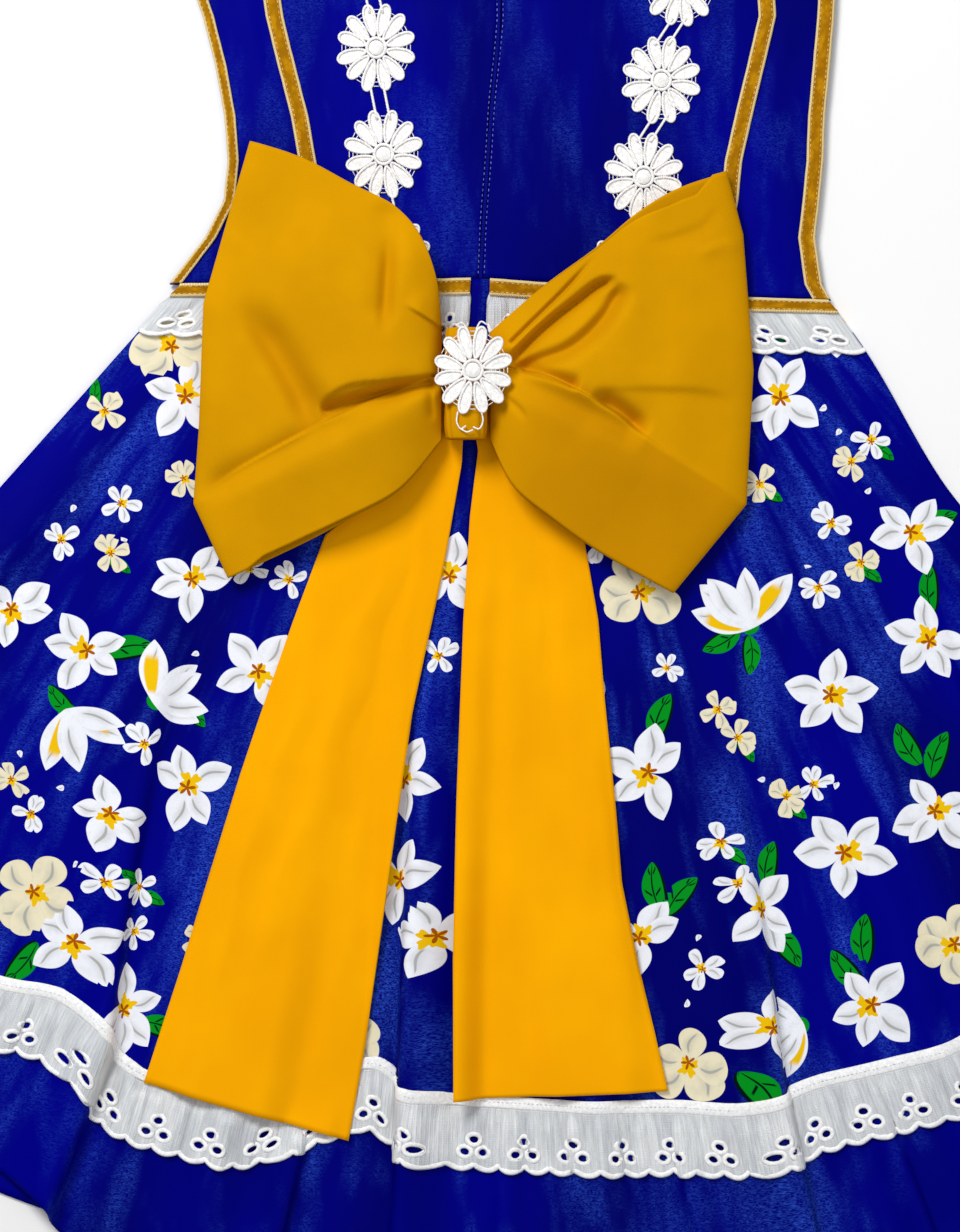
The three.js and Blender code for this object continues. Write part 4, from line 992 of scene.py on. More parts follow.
# ---- eyelet laces ----
# Depth from the seam, depth of the scallops, radii of a hole, how far up the holes are spread,
# cells of a repeat and rows, radii of the rims' and the edge's cords, how far the edge's sinks.
HEM = {"depth": HEM_LACE_DEPTH, "scallop": 3.6, "hole": (2.9, 2.5), "up": 1.0,
       "grid": (20, 26), "rim": 1.45, "cord": 1.75, "sunk": 0.2}
FRILL = {"depth": TRIM_DEPTH, "scallop": 3.0, "hole": (2.6, 2.3), "up": 0.8,
         "grid": (22, 30), "rim": 1.25, "cord": 1.5, "sunk": 0.15}
HEM_LENGTH, HEM_REPEATS, FRILL_REPEAT, FRILL_CORNER = 1010.0, 34, 27, 12.0
SCALLOPS = 2
EYELETS = [(0.5, 0.5), (0.33, 0.3), (0.67, 0.3)]
RIM_SIDES, RIM_SUNK, NEAR_HOLE = 18, 0.1, 0.45
OVER_CLOTH = CLOTH + SEAM
OVER_FLOUNCE = OVER_CLOTH + 0.2
OVER_LACE = OVER_CLOTH + LACE + SEAM


def no_corner(u):
    return 0 * u


def lace_grid(kind, length, repeats, surface, corner):
    """Grid of a lace with its holes; surface takes u and the depth in mm."""
    cells, rows = kind["grid"]
    hole, depth = kind["hole"], kind["depth"]
    nu = repeats * cells + 1
    u = np.repeat(np.linspace(0, 1, nu)[:, None], rows + 1, 1)
    edge = depth - scallop(u * repeats * SCALLOPS, kind["scallop"]) - corner(u)
    down = edge * (1 - np.linspace(0, 1, rows + 1)[None, :])
    along = u * length
    gone = np.zeros((nu - 1, rows), bool)
    centres = []
    for i in range(repeats):
        for share, up in EYELETS:
            s0, t0 = (i + share) / repeats * length, depth * (1 - up * kind["up"])
            centres.append((s0, t0))
            reach = np.hypot((along - s0) / hole[0], (down - t0) / hole[1])
            inside = (reach < 1).astype(int)
            hits = inside[:-1, :-1] + inside[1:, :-1] + inside[1:, 1:] + inside[:-1, 1:]
            cut = hits >= 2
            gone |= cut
            ring = np.zeros(inside.shape, bool)
            for du in (0, 1):
                for dv in (0, 1):
                    ring[du:nu - 1 + du, dv:rows + dv] |= cut
            near = ring & (reach > NEAR_HOLE)
            along = np.where(near, s0 + (along - s0) / reach, along)
            down = np.where(near, t0 + (down - t0) / reach, down)
    return surface(along / length, down), np.stack([along, down], -1), gone, centres


def build_lace(node, embroidery, kind, length, repeats, surface, under, corner=no_corner):
    """A lace with its holes, their embroidered rims and its satin-stitched scalloped edge."""
    p, uv, gone, centres = lace_grid(kind, length, repeats, surface, corner)
    piece = cloth(node + "_cotton", p, uv, under, LACE, COTTON, gone)
    work = Joined()
    top, rim, cord = under + LACE, kind["rim"], kind["cord"]
    turn = np.linspace(0, 2 * math.pi, RIM_SIDES, endpoint=False)
    for s0, t0 in centres:
        s = s0 + np.cos(turn) * (kind["hole"][0] + rim * 0.6)
        t = t0 + np.sin(turn) * (kind["hole"][1] + rim * 0.6)
        path = surface(s / length, t)
        path[:, 2] += top - RIM_SUNK
        work.add(*tube(path, rim, closed=True, squash=0.5))
    u = np.linspace(0.001, 0.999, repeats * SCALLOPS * 12)
    edge = kind["depth"] - scallop(u * repeats * SCALLOPS, kind["scallop"])
    path = surface(u, edge - cord * 0.8 - corner(u))
    path[:, 2] += top - kind["sunk"]
    work.add(*tube(path, cord, squash=0.42))
    sheet(piece, node, p,
          [work.piece(embroidery, EMBROIDERY, "eyelet_lace")])


TAIL_MARGIN, TAIL_FADE, PRESSED_DOWN = 9, 6, 0.35


def under_tails(x, y):
    """1 where a tail of the bow lies on the place and presses it flat."""
    covered = np.zeros(np.shape(x))
    for rows in (LEFT_TAIL, RIGHT_TAIL):
        left = np.interp(-y, -rows[:, 1], rows[:, 0])
        right = np.interp(-y, -rows[:, 3], rows[:, 2])
        end = lerp(rows[-1, 1], rows[-1, 3], np.clip((x - left) / (right - left), 0, 1))
        inside = smooth((x - left + TAIL_MARGIN) / TAIL_FADE)
        inside = inside * smooth((right + TAIL_MARGIN - x) / TAIL_FADE)
        covered = np.maximum(covered, inside * smooth((y - end + TAIL_MARGIN) / TAIL_FADE))
    return covered


# Pitch and height of the laces' gathers.
GATHERS = ((5.1, 0.2), (8.3, 0.4), (12.9, 0.7), (21.0, 0.8))


def lace_ripple(along, down, depth, seed):
    """Small gathers that fan out from the seam."""
    rng = np.random.default_rng(seed)
    out = np.clip(down / depth, 0, 1)
    total = 0
    for pitch, high in GATHERS:
        phase = along * 2 * math.pi / pitch + rng.uniform(0, FULL_TURN)
        drift = 1.4 * np.sin(along * 0.021 + rng.uniform(0, FULL_TURN))
        total = total + high * np.sin(phase + drift)
    fade = 0.35 + 0.65 * smooth((1.1 - out) / 0.4)
    return np.maximum(total * fade + 0.9, -0.3) * smooth(out / 0.3)


def build_hem_lace():
    def surface(u, down):
        q = np.clip(u * 2 - 1, -1, 1)
        p = laid_back_at(q, hem_seam(q) + np.maximum(down, SEAM))
        pressed = under_tails(p[..., 0], p[..., 1])
        ripple = lace_ripple(u * HEM_LENGTH, down, HEM_LACE_DEPTH, 1)
        p[..., 2] += ripple * (1 - pressed) - PRESSED_DOWN * pressed
        return p

    build_lace("hem_lace_back", "hem_lace_embroidery", HEM, HEM_LENGTH, HEM_REPEATS, surface,
               OVER_FLOUNCE)
    q = np.linspace(-1, 1, 620)
    outer = hem_seam(q)
    p, flat = back_grid(q, outer, outer - HEM_GAP - BINDING_WIDTH, 7)
    pressed = under_tails(p[..., 0], p[..., 1])
    arch = np.sin(math.pi * np.linspace(0, 1, 7)[None, :]) ** 0.7
    p[..., 2] += 0.7 * arch * (1 - 0.9 * pressed)
    band = cloth("hem_binding_cotton", p, flat, OVER_FLOUNCE, LACE, EMBROIDERY)
    stitches = Joined()
    dashes(stitches, p[:, 3] + [0, 0, OVER_FLOUNCE + LACE], "binding")
    sewn = stitches.piece("hem_binding_stitches", WHITE_STITCH, "eyelet_lace")
    sheet(band, "hem_lace_binding_back", p, [sewn])


def q_at_waist(x):
    deg = math.degrees(math.atan2(x, APEX_Y - float(back_waist_y(x))))
    return deg / LEFT_SIDE if deg < 0 else deg / RIGHT_TOP


def build_waist_trims():
    for side, q0, q1, length in (
        ("left", -1.0, q_at_waist(ZIP_GAP[0]), WAIST_LENGTHS[0]),
        ("right", q_at_waist(ZIP_GAP[1]), 1.0, WAIST_LENGTHS[1]),
    ):
        def surface(u, down):
            q = lerp(q0, q1, np.clip(u, 0, 1))
            p = laid_back_at(q, waist_at(q) + np.maximum(down, SKIRT_START))
            frill = np.maximum(down - RIBBON_WIDTH, 0)
            p[..., 2] += lace_ripple(u * length, frill, FRILL_DEPTH, 4) * (frill > 0)
            return p

        def corner(u):
            """How far the frill's corner by the zip is rounded off."""
            from_zip = (1 - u if side == "left" else u) * length
            short = np.clip(1 - from_zip / FRILL_CORNER, 0, 1)
            return FRILL_CORNER * (1 - np.sqrt(1 - short * short))

        name = "waist_lace_back_" + side
        build_lace(name, name + "_embroidery", FRILL, length, round(length / FRILL_REPEAT),
                   surface, OVER_CLOTH, corner)
        q = np.linspace(q0, q1, 160)
        p, _ = back_grid(q, waist_at(q) + RIBBON_WIDTH, waist_at(q) + SKIRT_START, 11)
        ribbon("waist_ribbon_back_" + side, p, length, OVER_LACE)


STITCH_LINES = (0.16, 0.84)
CORD_AT, CORD_SPREAD, CORD_HIGH, PILE_HIGH = 4.4, 0.5, 0.35, 0.12


def ribbon(node, p, length, under, swap=False):
    """A velvet ribbon from its grid: corded edges, a soft pile and a row of stitches by each."""
    sizes = (RIBBON_WIDTH, length) if swap else (length, RIBBON_WIDTH)
    stops = [np.linspace(0, size, count) for size, count in zip(sizes, p.shape)]
    across, along = np.meshgrid(*stops, indexing="ij")[::1 if swap else -1]
    from_middle = np.abs(across - RIBBON_WIDTH / 2)
    p[..., 2] += CORD_HIGH * np.exp(-((from_middle - CORD_AT) / CORD_SPREAD) ** 2)
    p[..., 2] += PILE_HIGH * wobble(p[..., 0], p[..., 1], 8, 14.0)
    piece = cloth(node + "_velvet", p, np.stack([across, along], -1), under, RIBBON, VELVET)
    lines = p if swap else p.transpose(1, 0, 2)
    stitches = Joined()
    for share in STITCH_LINES:
        path = lines[round(share * (len(lines) - 1))]
        dashes(stitches, path + [0, 0, under + RIBBON], "ribbon")
    sewn = stitches.piece(node + "_stitches", GILT_STITCH, "velvet")
    sheet(piece, node, p, [sewn])


def build_seam_ribbons():
    for column, width, inset, top_trim, beside in (
        ("side_left", 6, 3.6, 180, "side_left"), ("princess_left", 10, 0, 1, "centre_left"),
        ("princess_right", 10, 0, 1, "centre_right"), ("side_right", 10, -5.6, 180, "side_right"),
    ):
        low = float(back_waist_y(seam_x(column, PANEL_LOW))) + 0.6
        high = float(top_y(seam_x(column, PANEL_HIGH), 0)) - top_trim
        u = np.linspace(0, 1, 11)[:, None]
        y = np.linspace(low, high, 220)[None, :] + 0 * u
        x = seam_x(column, y) + inset + lerp(-width / 2, width / 2, u)
        p = np.stack([x, y, BACK_BASE + bodice_lift(x, y)], -1)
        side, hand = column.split("_")
        ribbon(f"ribbon_{side}_{hand}", p, high - low, OVER_CLOTH, True)


# ---- guipure daisies ----
DAISY = {"wide": 24.8, "tall": 27.8, "petals": 12, "cord": 0.8, "ring": 5.6, "dome": 3.7}
LINK = {"width": 1.6, "apart": 8, "into": 7}
LEFT_DAISIES = [(-65.4, 26), (-70, 88), (-74.4, 152), (-79, 214), (-84, 276), (-89, 338)]
RIGHT_DAISIES = [(75.6, 16), (86.4, 74.4), (97, 132.6), (108, 191), (109, 250), (106, 309)]


PETAL_START, PETAL_POINTS, RING_POINTS, DOME_RINGS = 0.23, 26, 30, 6
# Share of the petal's size and height of its rings, from the outline inwards.
PETAL_RINGS = ((1.0, 0.3), (0.7, 0.35), (0.34, 0.5))
BARS = (0.44, 0.54, 0.64, 0.74, 0.83)
BAR_RADIUS, RING_CORD, THREAD_RADIUS, CORD_LIFT, LINK_LIFT = 0.28, 1.0, 0.5, 0.5, 0.7


def add_daisy(joined, x0, y0, z_at, seed):
    """Corded petals with ladder stitches between them, round a ring with a small dome."""
    rng = np.random.default_rng(seed)

    def place(rho, side, high):
        """Unit place along and across a petal at the current turn, onto the cloth."""
        x = x0 + DAISY["wide"] * (rho * math.cos(turn) - side * math.sin(turn))
        y = y0 + DAISY["tall"] * (rho * math.sin(turn) + side * math.cos(turn))
        return np.stack([x, y, z_at(x, y) + high], -1)

    for i in range(DAISY["petals"]):
        turn = math.radians(15 + 30 * i) + rng.uniform(-0.03, 0.03)
        reach = (rng.uniform(0.95, 1.0) - PETAL_START) / 2
        tau = np.linspace(0, 2 * math.pi, PETAL_POINTS, endpoint=False)
        rings = []
        for size, high in PETAL_RINGS:
            rho = PETAL_START + reach + (reach - 0.035) * np.cos(tau) * size
            side = 0.15 * np.sin(tau) * size * (0.3 + 0.7 * (rho / 0.8))
            rings.append(place(rho, side, high + rng.uniform(-0.05, 0.05)))
        points = np.concatenate([*rings, rings[-1].mean(0, keepdims=True)])
        inner = 2 * PETAL_POINTS
        fan = [(inner + k, inner + (k + 1) % PETAL_POINTS, 3 * PETAL_POINTS)
               for k in range(PETAL_POINTS)]
        joined.add(points, ring_faces(3, PETAL_POINTS) + fan)
        joined.add(*tube(rings[0] + [0, 0, CORD_LIFT], DAISY["cord"], closed=True, squash=0.8))
        turn = math.radians(30 * i)
        for rho in BARS:
            bar = place(np.full(4, rho), np.linspace(-0.05, 0.05, 4) * (rho + 0.5), 0.45)
            joined.add(*tube(bar, BAR_RADIUS, 5))
    tau = np.linspace(0, 2 * math.pi, RING_POINTS, endpoint=False)
    x, y = x0 + DAISY["ring"] * np.cos(tau), y0 + DAISY["ring"] * 1.05 * np.sin(tau)
    joined.add(*tube(np.stack([x, y, z_at(x, y) + 1.2], -1), RING_CORD, 8, closed=True,
                     squash=0.8))
    points = []
    for rise in np.linspace(0, 1, DOME_RINGS) * 1.5:
        radius = DAISY["dome"] * 1.25 * math.cos(rise)
        high = z_at(x0 + 0 * tau, y0 + 0 * tau) + 0.6 + 1.5 * math.sin(rise)
        points.append(np.stack([x0 + radius * np.cos(tau), y0 + radius * np.sin(tau), high], -1))
    crown = tuple(range((DOME_RINGS - 1) * RING_POINTS, DOME_RINGS * RING_POINTS))
    joined.add(np.concatenate(points), ring_faces(DOME_RINGS, RING_POINTS) + [crown])


def cut_below(joined, limit):
    """Drops what lies below y = limit, where the daisies are caught in the waist seam."""
    points = np.concatenate(joined.points)
    joined.faces = [f for f in joined.faces if any(points[i, 1] > limit for i in f)]
    points[:, 1] = np.maximum(points[:, 1], limit - 0.4)
    joined.points = [points]


def build_daisy_chain(side, rows):
    def z_at(x, y):
        return TRIM_Z + bodice_lift(x, y)

    work = Joined()
    for i, (x, y) in enumerate(rows):
        add_daisy(work, x, y, z_at, 40 + i)
    t = np.linspace(0, 1, 8)
    clear = DAISY["tall"] - LINK["into"]
    for (x0, y0), (x1, y1) in zip(rows, rows[1:]):
        for aside in (-LINK["apart"] / 2, LINK["apart"] / 2):
            x, y = lerp(x0 + aside, x1 + aside, t), lerp(y0 + clear, y1 - clear, t)
            path = np.stack([x, y, z_at(x, y) + LINK_LIFT], -1)
            work.add(*tube(path, LINK["width"] / 2, squash=0.7))
    cut_below(work, float(back_waist_y(rows[0][0] - DAISY["wide"])) + 1)
    name = "daisy_chain_" + side
    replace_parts(work.piece(name + "_guipure", GUIPURE, "guipure"), name)


# ---- bow ----
def lift_near(x, y):
    """Highest fold of the skirt near a place, so that the bow lies clear of leaning crests."""
    high = np.zeros_like(x)
    for aside in range(-18, 19, 6):
        r = np.hypot(x + aside, APEX_Y - y)
        deg = np.degrees(np.arctan2(x + aside, APEX_Y - y))
        high = np.maximum(high, folds_at(deg, r)[0])
    return high


# Corners of the tails, row by row from the knot to the cut ends: left x, y, right x, y.
LEFT_TAIL = np.array([
    (-33, -50, -21, -50), (-52, -100, -23, -98), (-105, -141, -33, -156), (-124, -192, -43, -203),
    (-143, -246, -53, -250), (-156, -285, -60, -300), (-168, -324, -67, -350),
    (-180, -363, -74, -400), (-192, -402, -81, -448), (-214, -470, -91, -505),
], float)
RIGHT_TAIL = np.array([
    (-20, -50, -8, -50), (-13, -90, 10, -96), (-18, -130, 50, -140), (-22, -192, 59, -192),
    (-24, -246, 63, -240), (-26, -300, 69, -300), (-27, -350, 73, -350), (-28, -396, 83, -400),
    (-28, -440, 93, -440), (-28, -480, 101, -475),
], float)
TAIL_CREASES = [
    (-60, -120, -150, -420, 1.6, 8), (-46, -130, -96, -300, -1.0, 6),
    (-100, -180, -186, -440, 1.1, 7), (-40, -110, -70, -240, 1.2, 5),
    (-70, -250, -110, -480, 1.0, 8), (4, -110, 10, -440, 1.4, 8), (30, -130, 60, -400, 1.3, 9),
    (-8, -120, -16, -300, 1.0, 5), (20, -120, 34, -260, -0.9, 5), (50, -240, 84, -440, 1.0, 7),
]


def build_tail(side, rows):
    u = np.linspace(0, 1, 46)[:, None]
    t = np.linspace(1, 0, 150)[None, :]
    lx, ly, rx, ry = (np.interp(t, np.linspace(0, 1, len(rows)), rows[:, k]) for k in range(4))
    x, y = lerp(lx, rx, u), lerp(ly, ry, u)
    soft = 0.4 + creases(TAIL_CREASES, x, y) + wobble(x, y, 31, 50.0) * 0.4
    z = BACK_BASE + CLOTH + TAIL_LIFT + lift_near(x, y)
    z = z + smooth(u * (1 - u) * 12) * np.maximum(soft, 0)
    p = np.stack([x, y, z], -1)
    name = "bow_tail_" + side
    piece = cloth(name + "_cloth", p, p[..., :2], 0, CLOTH, TAIL)
    sheet(piece, name, p)


LEFT_LOOP = {
    "side": -1,
    "upper": [(-34.8, -18), (-38, 12), (-48, 38), (-62, 54), (-90, 69), (-118, 84), (-150, 95)],
    "lower": [(-34.8, -84), (-60, -114), (-88, -130), (-114, -144), (-163, -167)],
    "bulge": [(0, 0), (0.37, 23), (0.65, 22), (0.83, 23), (1, 0)],
    "creases": [((-182, -118), (-43, -48), 6, 8), ((-66, 60), (-72, -18), 3, 9)],
}
RIGHT_LOOP = {
    "side": 1,
    "upper": [(-6.2, -20), (24, 7), (58, 32), (83, 53), (106.5, 67), (136, 77)],
    "lower": [(-6.2, -84), (8, -112), (32, -132), (56, -149), (104, -176)],
    "bulge": [(0, 0), (0.15, 14.6), (0.47, 31), (0.79, 37), (1, 0)],
    "creases": [((0, -44), (88, -84), 6, 8), ((8, -41), (70, 9), 4, 8)],
}
LOOP = {"nose": 0.06, "nose_turn": 0.16, "edge_gap": 10, "puff": 19, "least_gap": 6}


def through(points, t):
    """Centripetal Catmull-Rom curve through plan points, as three.js draws it."""
    points = np.array(points, float)
    last = len(points) - 1
    at = np.clip(t, 0, 1) * last
    i = np.minimum(at.astype(int), last - 1)
    w = (at - i)[..., None]
    padded = np.concatenate([[2 * points[0] - points[1]], points, [2 * points[-1] - points[-2]]])
    p0, p1, p2, p3 = (padded[i + k] for k in range(4))

    def gap(a, b):
        return np.sqrt(np.linalg.norm(a - b, axis=-1, keepdims=True))

    d0, d1, d2 = gap(p0, p1), gap(p1, p2), gap(p2, p3)
    t1 = ((p1 - p0) / d0 - (p2 - p0) / (d0 + d1) + (p2 - p1) / d1) * d1
    t2 = ((p2 - p1) / d1 - (p3 - p1) / (d1 + d2) + (p3 - p2) / d2) * d1
    return (p1 + t1 * w + (-3 * p1 + 3 * p2 - 2 * t1 - t2) * w ** 2
            + (2 * p1 - 2 * p2 + t1 + t2) * w ** 3)


def crease_at(crease, x, y):
    (x0, y0), (x1, y1), depth, width = crease
    t, off = crease_place(x, y, x0, y0, x1, y1)
    ends = smooth(t / FOLD_FADE), smooth((1 - t) / FOLD_FADE)
    return depth * np.exp(-(off / width) ** 2) * ends[0] * ends[1]


def loop_at(loop, u, v):
    turn = loop["side"] * (2 * u - 1)
    round_ = np.clip(np.abs(turn) / LOOP["nose_turn"], 0, 1) * (math.pi / 2)
    straight = np.maximum(np.abs(turn) - LOOP["nose_turn"], 0) / (1 - LOOP["nose_turn"])
    s = 1 - LOOP["nose"] * (1 - np.cos(round_)) - (1 - LOOP["nose"]) * straight
    top, low = through(loop["upper"], s), through(loop["lower"], s)
    out = interp(np.array(loop["bulge"], float), 1 - v) * s ** 2 * loop["side"]
    x = lerp(low[..., 0], top[..., 0], v) + out
    y = lerp(low[..., 1], top[..., 1], v)
    across = 0.55 + 0.45 * np.sin(math.pi * v)
    high = LOOP["edge_gap"] + LOOP["puff"] * np.sin(math.pi * s ** 0.8) * across
    for crease in loop["creases"]:
        high = high - crease_at(crease, x, y)
    part = 0.5 - 0.5 * np.sign(turn) * np.sin(round_)
    gap = np.maximum(high, LOOP["least_gap"])
    return np.stack([x, y, BOW_BASE + lift_near(x, y) + gap * part], -1)


def from_photo(points):
    """Plan places in millimetres of places in the photo, in its pixels."""
    across, down = np.array(points, float).T
    return np.stack([across - PHOTO_ORIGIN[0], PHOTO_ORIGIN[1] - down], -1) * PHOTO_MM


def line_distance(points, x, y):
    """Signed distance to a line through plan points, + on its upper side, and place along it."""
    line = through(from_photo(points), np.linspace(0, 1, 24))
    best = np.full(x.shape, 1e9)
    signed, place = np.zeros_like(x), np.zeros_like(x)
    for i, (a, b) in enumerate(zip(line, line[1:])):
        run = b - a
        t = np.clip(((x - a[0]) * run[0] + (y - a[1]) * run[1]) / (run @ run), 0, 1)
        dx, dy = x - a[0] - t * run[0], y - a[1] - t * run[1]
        distance = np.hypot(dx, dy)
        side = np.sign(dy * run[0] - dx * run[1]) * (1 if run[0] >= 0 else -1)
        closer = distance < best
        best = np.where(closer, distance, best)
        signed = np.where(closer, distance * side, signed)
        place = np.where(closer, (i + t) / (len(line) - 1), place)
    return signed, place


# Folds of the loops: line from the knot outwards, rise, width above and below it, end fade.
LEFT_BAND = [(432, 380), (380, 399), (342, 417), (305, 436), (250, 466), (198, 497)]
LEFT_FOLDS = [
    (LEFT_BAND, 4.4, 1.0, 24, 0.5),
    ([(430, 384), (391, 393), (352, 402), (318, 413)], -10.5, 3, 5, 0.12),
    ([(430, 377), (391, 382), (352, 386), (314, 404)], 3.6, 14, 1.2, 0.2),
    ([(322, 446), (303, 400), (272, 345), (238, 298)], -10.0, 12, 8, 0.35),
    ([(384, 345), (387, 290), (391, 228)], -5.0, 4, 5, 0.4),
    ([(450, 334), (425, 318), (402, 305)], 4.2, 8, 1.2, 0.4),
    ([(431, 396), (433, 425)], -1.6, 2, 3, 0.4),
    ([(455, 332), (445, 300), (436, 272)], -1.5, 1.5, 2.5, 0.6),
    ([(350, 370), (320, 280), (290, 200)], 2.2, 26, 26, 0.6),
    ([(420, 300), (410, 260), (395, 225)], 2.2, 9, 9, 0.6),
    ([(420, 425), (340, 470), (240, 540)], 1.2, 16, 16, 0.6),
]
RIGHT_BAND = [
    (509, 370), (539, 376), (575, 393), (611, 414), (647, 441), (700, 474), (748, 503),
]
RIGHT_FOLDS = [
    (RIGHT_BAND, 4.6, 1.0, 26, 0.75),
    ([(526, 371), (560, 383), (580, 391)], -7.0, 5, 2.2, 0.25),
    ([(588, 396), (620, 413), (648, 438)], -8.5, 6, 2.4, 0.3),
    ([(575, 390), (640, 388), (712, 391), (735, 400)], 2.8, 14, 2.2, 0.5),
    ([(514, 358), (542, 330), (575, 302), (600, 283), (620, 280)], -9.0, 2.6, 4.2, 0.25),
    ([(520, 368), (569, 350), (602, 320), (615, 298), (622, 281)], -8.0, 4, 6.5, 0.25),
    ([(512, 343), (560, 293), (598, 251)], -3.6, 1.5, 1.6, 0.4),
    ([(504, 398), (518, 410), (528, 424)], -1.8, 1.6, 2.6, 0.4),
    ([(545, 402), (580, 425), (600, 440)], -1.6, 12, 14, 0.6),
    ([(688, 246), (720, 244), (748, 247)], 1.3, 2, 6, 0.3),
    ([(600, 350), (660, 320), (730, 300)], 1.8, 26, 26, 0.6),
    ([(640, 240), (680, 226), (730, 205)], -1.5, 3, 9, 0.4),
]
# How far the upper layer's edge lies inside the lower one's, as share of the way out and mm,
# and which edge gapes: 0 the lower, 1 the upper.
LOOP_OPEN = {
    "left": (np.array([(0, 0), (0.5, 0.6), (0.8, 3.0), (0.95, 3.4), (1, 0)]), 0),
    "right": (np.array([(0, 0), (0.3, 2.5), (0.55, 3.5), (0.8, 9), (0.93, 9), (1, 0)]), 1),
}
KNOT_PIXELS = (425, 535)  # folds that start here come out from under the knot
CREST = 0.4
# How strongly painted shade darkens each loop's lower band, which turns away from the light.
BAND_PAINTED_SHADE = {"left": 0.0, "right": 0.6}


def build_loop(side, loop, folds, band):
    """The upper layer carries the folds; rows of the grid follow the band's edge."""
    u = np.concatenate([np.linspace(0, 0.42, 140), np.linspace(0.42, 0.58, 36)[1:],
                        np.linspace(0.58, 1, 30)[1:]])
    if side == "left":
        u = 1 - u[::-1]
    rows = np.concatenate([
        np.linspace(0, CREST - 0.02, 42), np.linspace(CREST - 0.016, CREST + 0.02, 10),
        np.linspace(CREST + 0.03, 1, 70),
    ])
    uu, ww = np.meshgrid(u, rows, indexing="ij")
    fine_u, fine_v = np.meshgrid(u, np.linspace(0, 1, 200), indexing="ij")
    plan = loop_at(loop, fine_u, fine_v)
    off, _ = line_distance(band, plan[..., 0], plan[..., 1])
    band_v = np.clip(fine_v[0, np.argmax(off > 0, axis=1)], 0.08, 0.75)[:, None]
    above_band = band_v + (ww - CREST) / (1 - CREST) * (1 - band_v)
    vv = np.where(ww < CREST, ww / CREST * band_v, above_band)
    p = loop_at(loop, uu, vv)
    x, y, z = np.moveaxis(p, -1, 0)  # views, which follow p
    turn = loop["side"] * (2 * uu - 1)
    on_top = smooth(-turn / LOOP["nose_turn"])
    share_out = 1 - np.maximum(np.abs(turn) - LOOP["nose_turn"], 0) / (1 - LOOP["nose_turn"])
    lift = np.zeros_like(uu)
    for points, rise, above, below, fade in folds:
        d, t = line_distance(points, x, y)
        ends = smooth((1 - t) / fade)
        if not KNOT_PIXELS[0] < points[0][0] < KNOT_PIXELS[1]:
            ends = ends * smooth(t / fade)
        lift += rise * np.exp(-(d / np.where(d > 0, above, below)) ** 2) * ends
    lift += 0.5 * wobble(x, y, 51, 42.0)
    floor_z = np.minimum(BOW_BASE + lift_near(x, y) + 2 * BOW_WALL + 1.2, z)
    p[..., 2] = np.where(on_top > 0, np.maximum(z + lift * on_top, floor_z), z)
    table, at_edge = LOOP_OPEN[side]
    inset = interp(table, share_out) * on_top * smooth(1 - np.abs(vv - at_edge) * 3.0)
    p[..., 1] += -inset if at_edge else inset
    name = "bow_loop_" + side
    piece = cloth(name + "_cloth", p, p[..., :2], -BOW_WALL, BOW_WALL, BOW)
    d, _ = line_distance(band, x, y)
    # Painted shade: the right loop's lower band is darker, and every fold's hollow is darker by its
    # depth.
    painted_shade = smooth(-d / 3) * BAND_PAINTED_SHADE[side] * smooth((share_out - 0.1) / 0.3) * on_top
    painted_shade = np.minimum(painted_shade + np.clip(-lift * on_top / 16, 0, 0.45), 1)
    attribute = piece.data.attributes.new("painted_shade", "FLOAT", "POINT")
    attribute.data.foreach_set("value", np.concatenate([painted_shade.ravel()] * 2).astype(np.float32))
    hem = p[turn[:, 0] > LOOP["nose_turn"]][3:-3, -7 if at_edge else 6]
    work = Joined()
    dashes(work, hem + [0, 0, BOW_WALL], "loop")
    sewn = work.piece(name + "_stitches", BOW_STITCH, "bow_cloth")
    sheet(piece, name, p, [sewn])


KNOT = {"x": -20.5, "half": 13.5, "low": -84, "high": -18, "tall": 27}
KNOT_AROUND, KNOT_ROWS, KNOT_SQUARE, KNOT_SHRINK = 96, 70, 0.7, 0.97


def build_knot():
    """The centre band, rolled round the gathered loops, with its soft lengthwise folds."""
    around, rows = KNOT_AROUND, KNOT_ROWS
    a = np.linspace(0, 2 * math.pi, around, endpoint=False)[:, None]
    v = np.linspace(0, 1, rows)[None, :]
    waist = 1 - 0.07 * np.sin(math.pi * v) - 0.14 * (np.abs(2 * v - 1) ** 7)
    fold = 1 + 0.03 * np.sin(a * 7 + v * 2.0) * np.sin(math.pi * v) + 0.02 * np.sin(a * 13 - v * 5)
    scale = waist * np.minimum(fold, 1.03)
    wide, tall = (np.sign(turn(a)) * np.abs(turn(a)) ** KNOT_SQUARE for turn in (np.cos, np.sin))
    x = KNOT["x"] + KNOT["half"] * scale * wide * KNOT_SHRINK
    y = lerp(KNOT["low"], KNOT["high"], v) + 0 * a
    z = BOW_BASE + KNOT["tall"] / 2 * (1 + scale * tall * KNOT_SHRINK)
    points = np.stack([x, y, z], -1).reshape(-1, 3)
    faces = []
    for i in range(around):
        j = (i + 1) % around
        for k in range(rows - 1):
            faces.append((i * rows + k, j * rows + k, j * rows + k + 1, i * rows + k + 1))
    first = range(0, around * rows, rows)
    faces += [tuple(first)[::-1], tuple(i + rows - 1 for i in first)]
    mesh = make_mesh("bow_knot_cloth", points, faces, points[:, :2])
    piece = link("bow_knot_cloth", mesh, BOW)
    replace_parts(piece, "bow_knot")


BOW_DAISY = {"x": -16.2, "y": -43.8, "droop": 0.006}
# The cut ends of its link threads, in the photo's pixels.
THREAD_ENDS = [
    [(458, 414), (457, 424), (461, 431), (466, 428)],
    [(481, 413), (483, 423), (479, 431), (473, 429)],
    [(461, 431), (467, 434), (473, 432)], [(468, 333), (462, 326), (456, 329)],
    [(476, 333), (481, 325), (487, 328)],
]


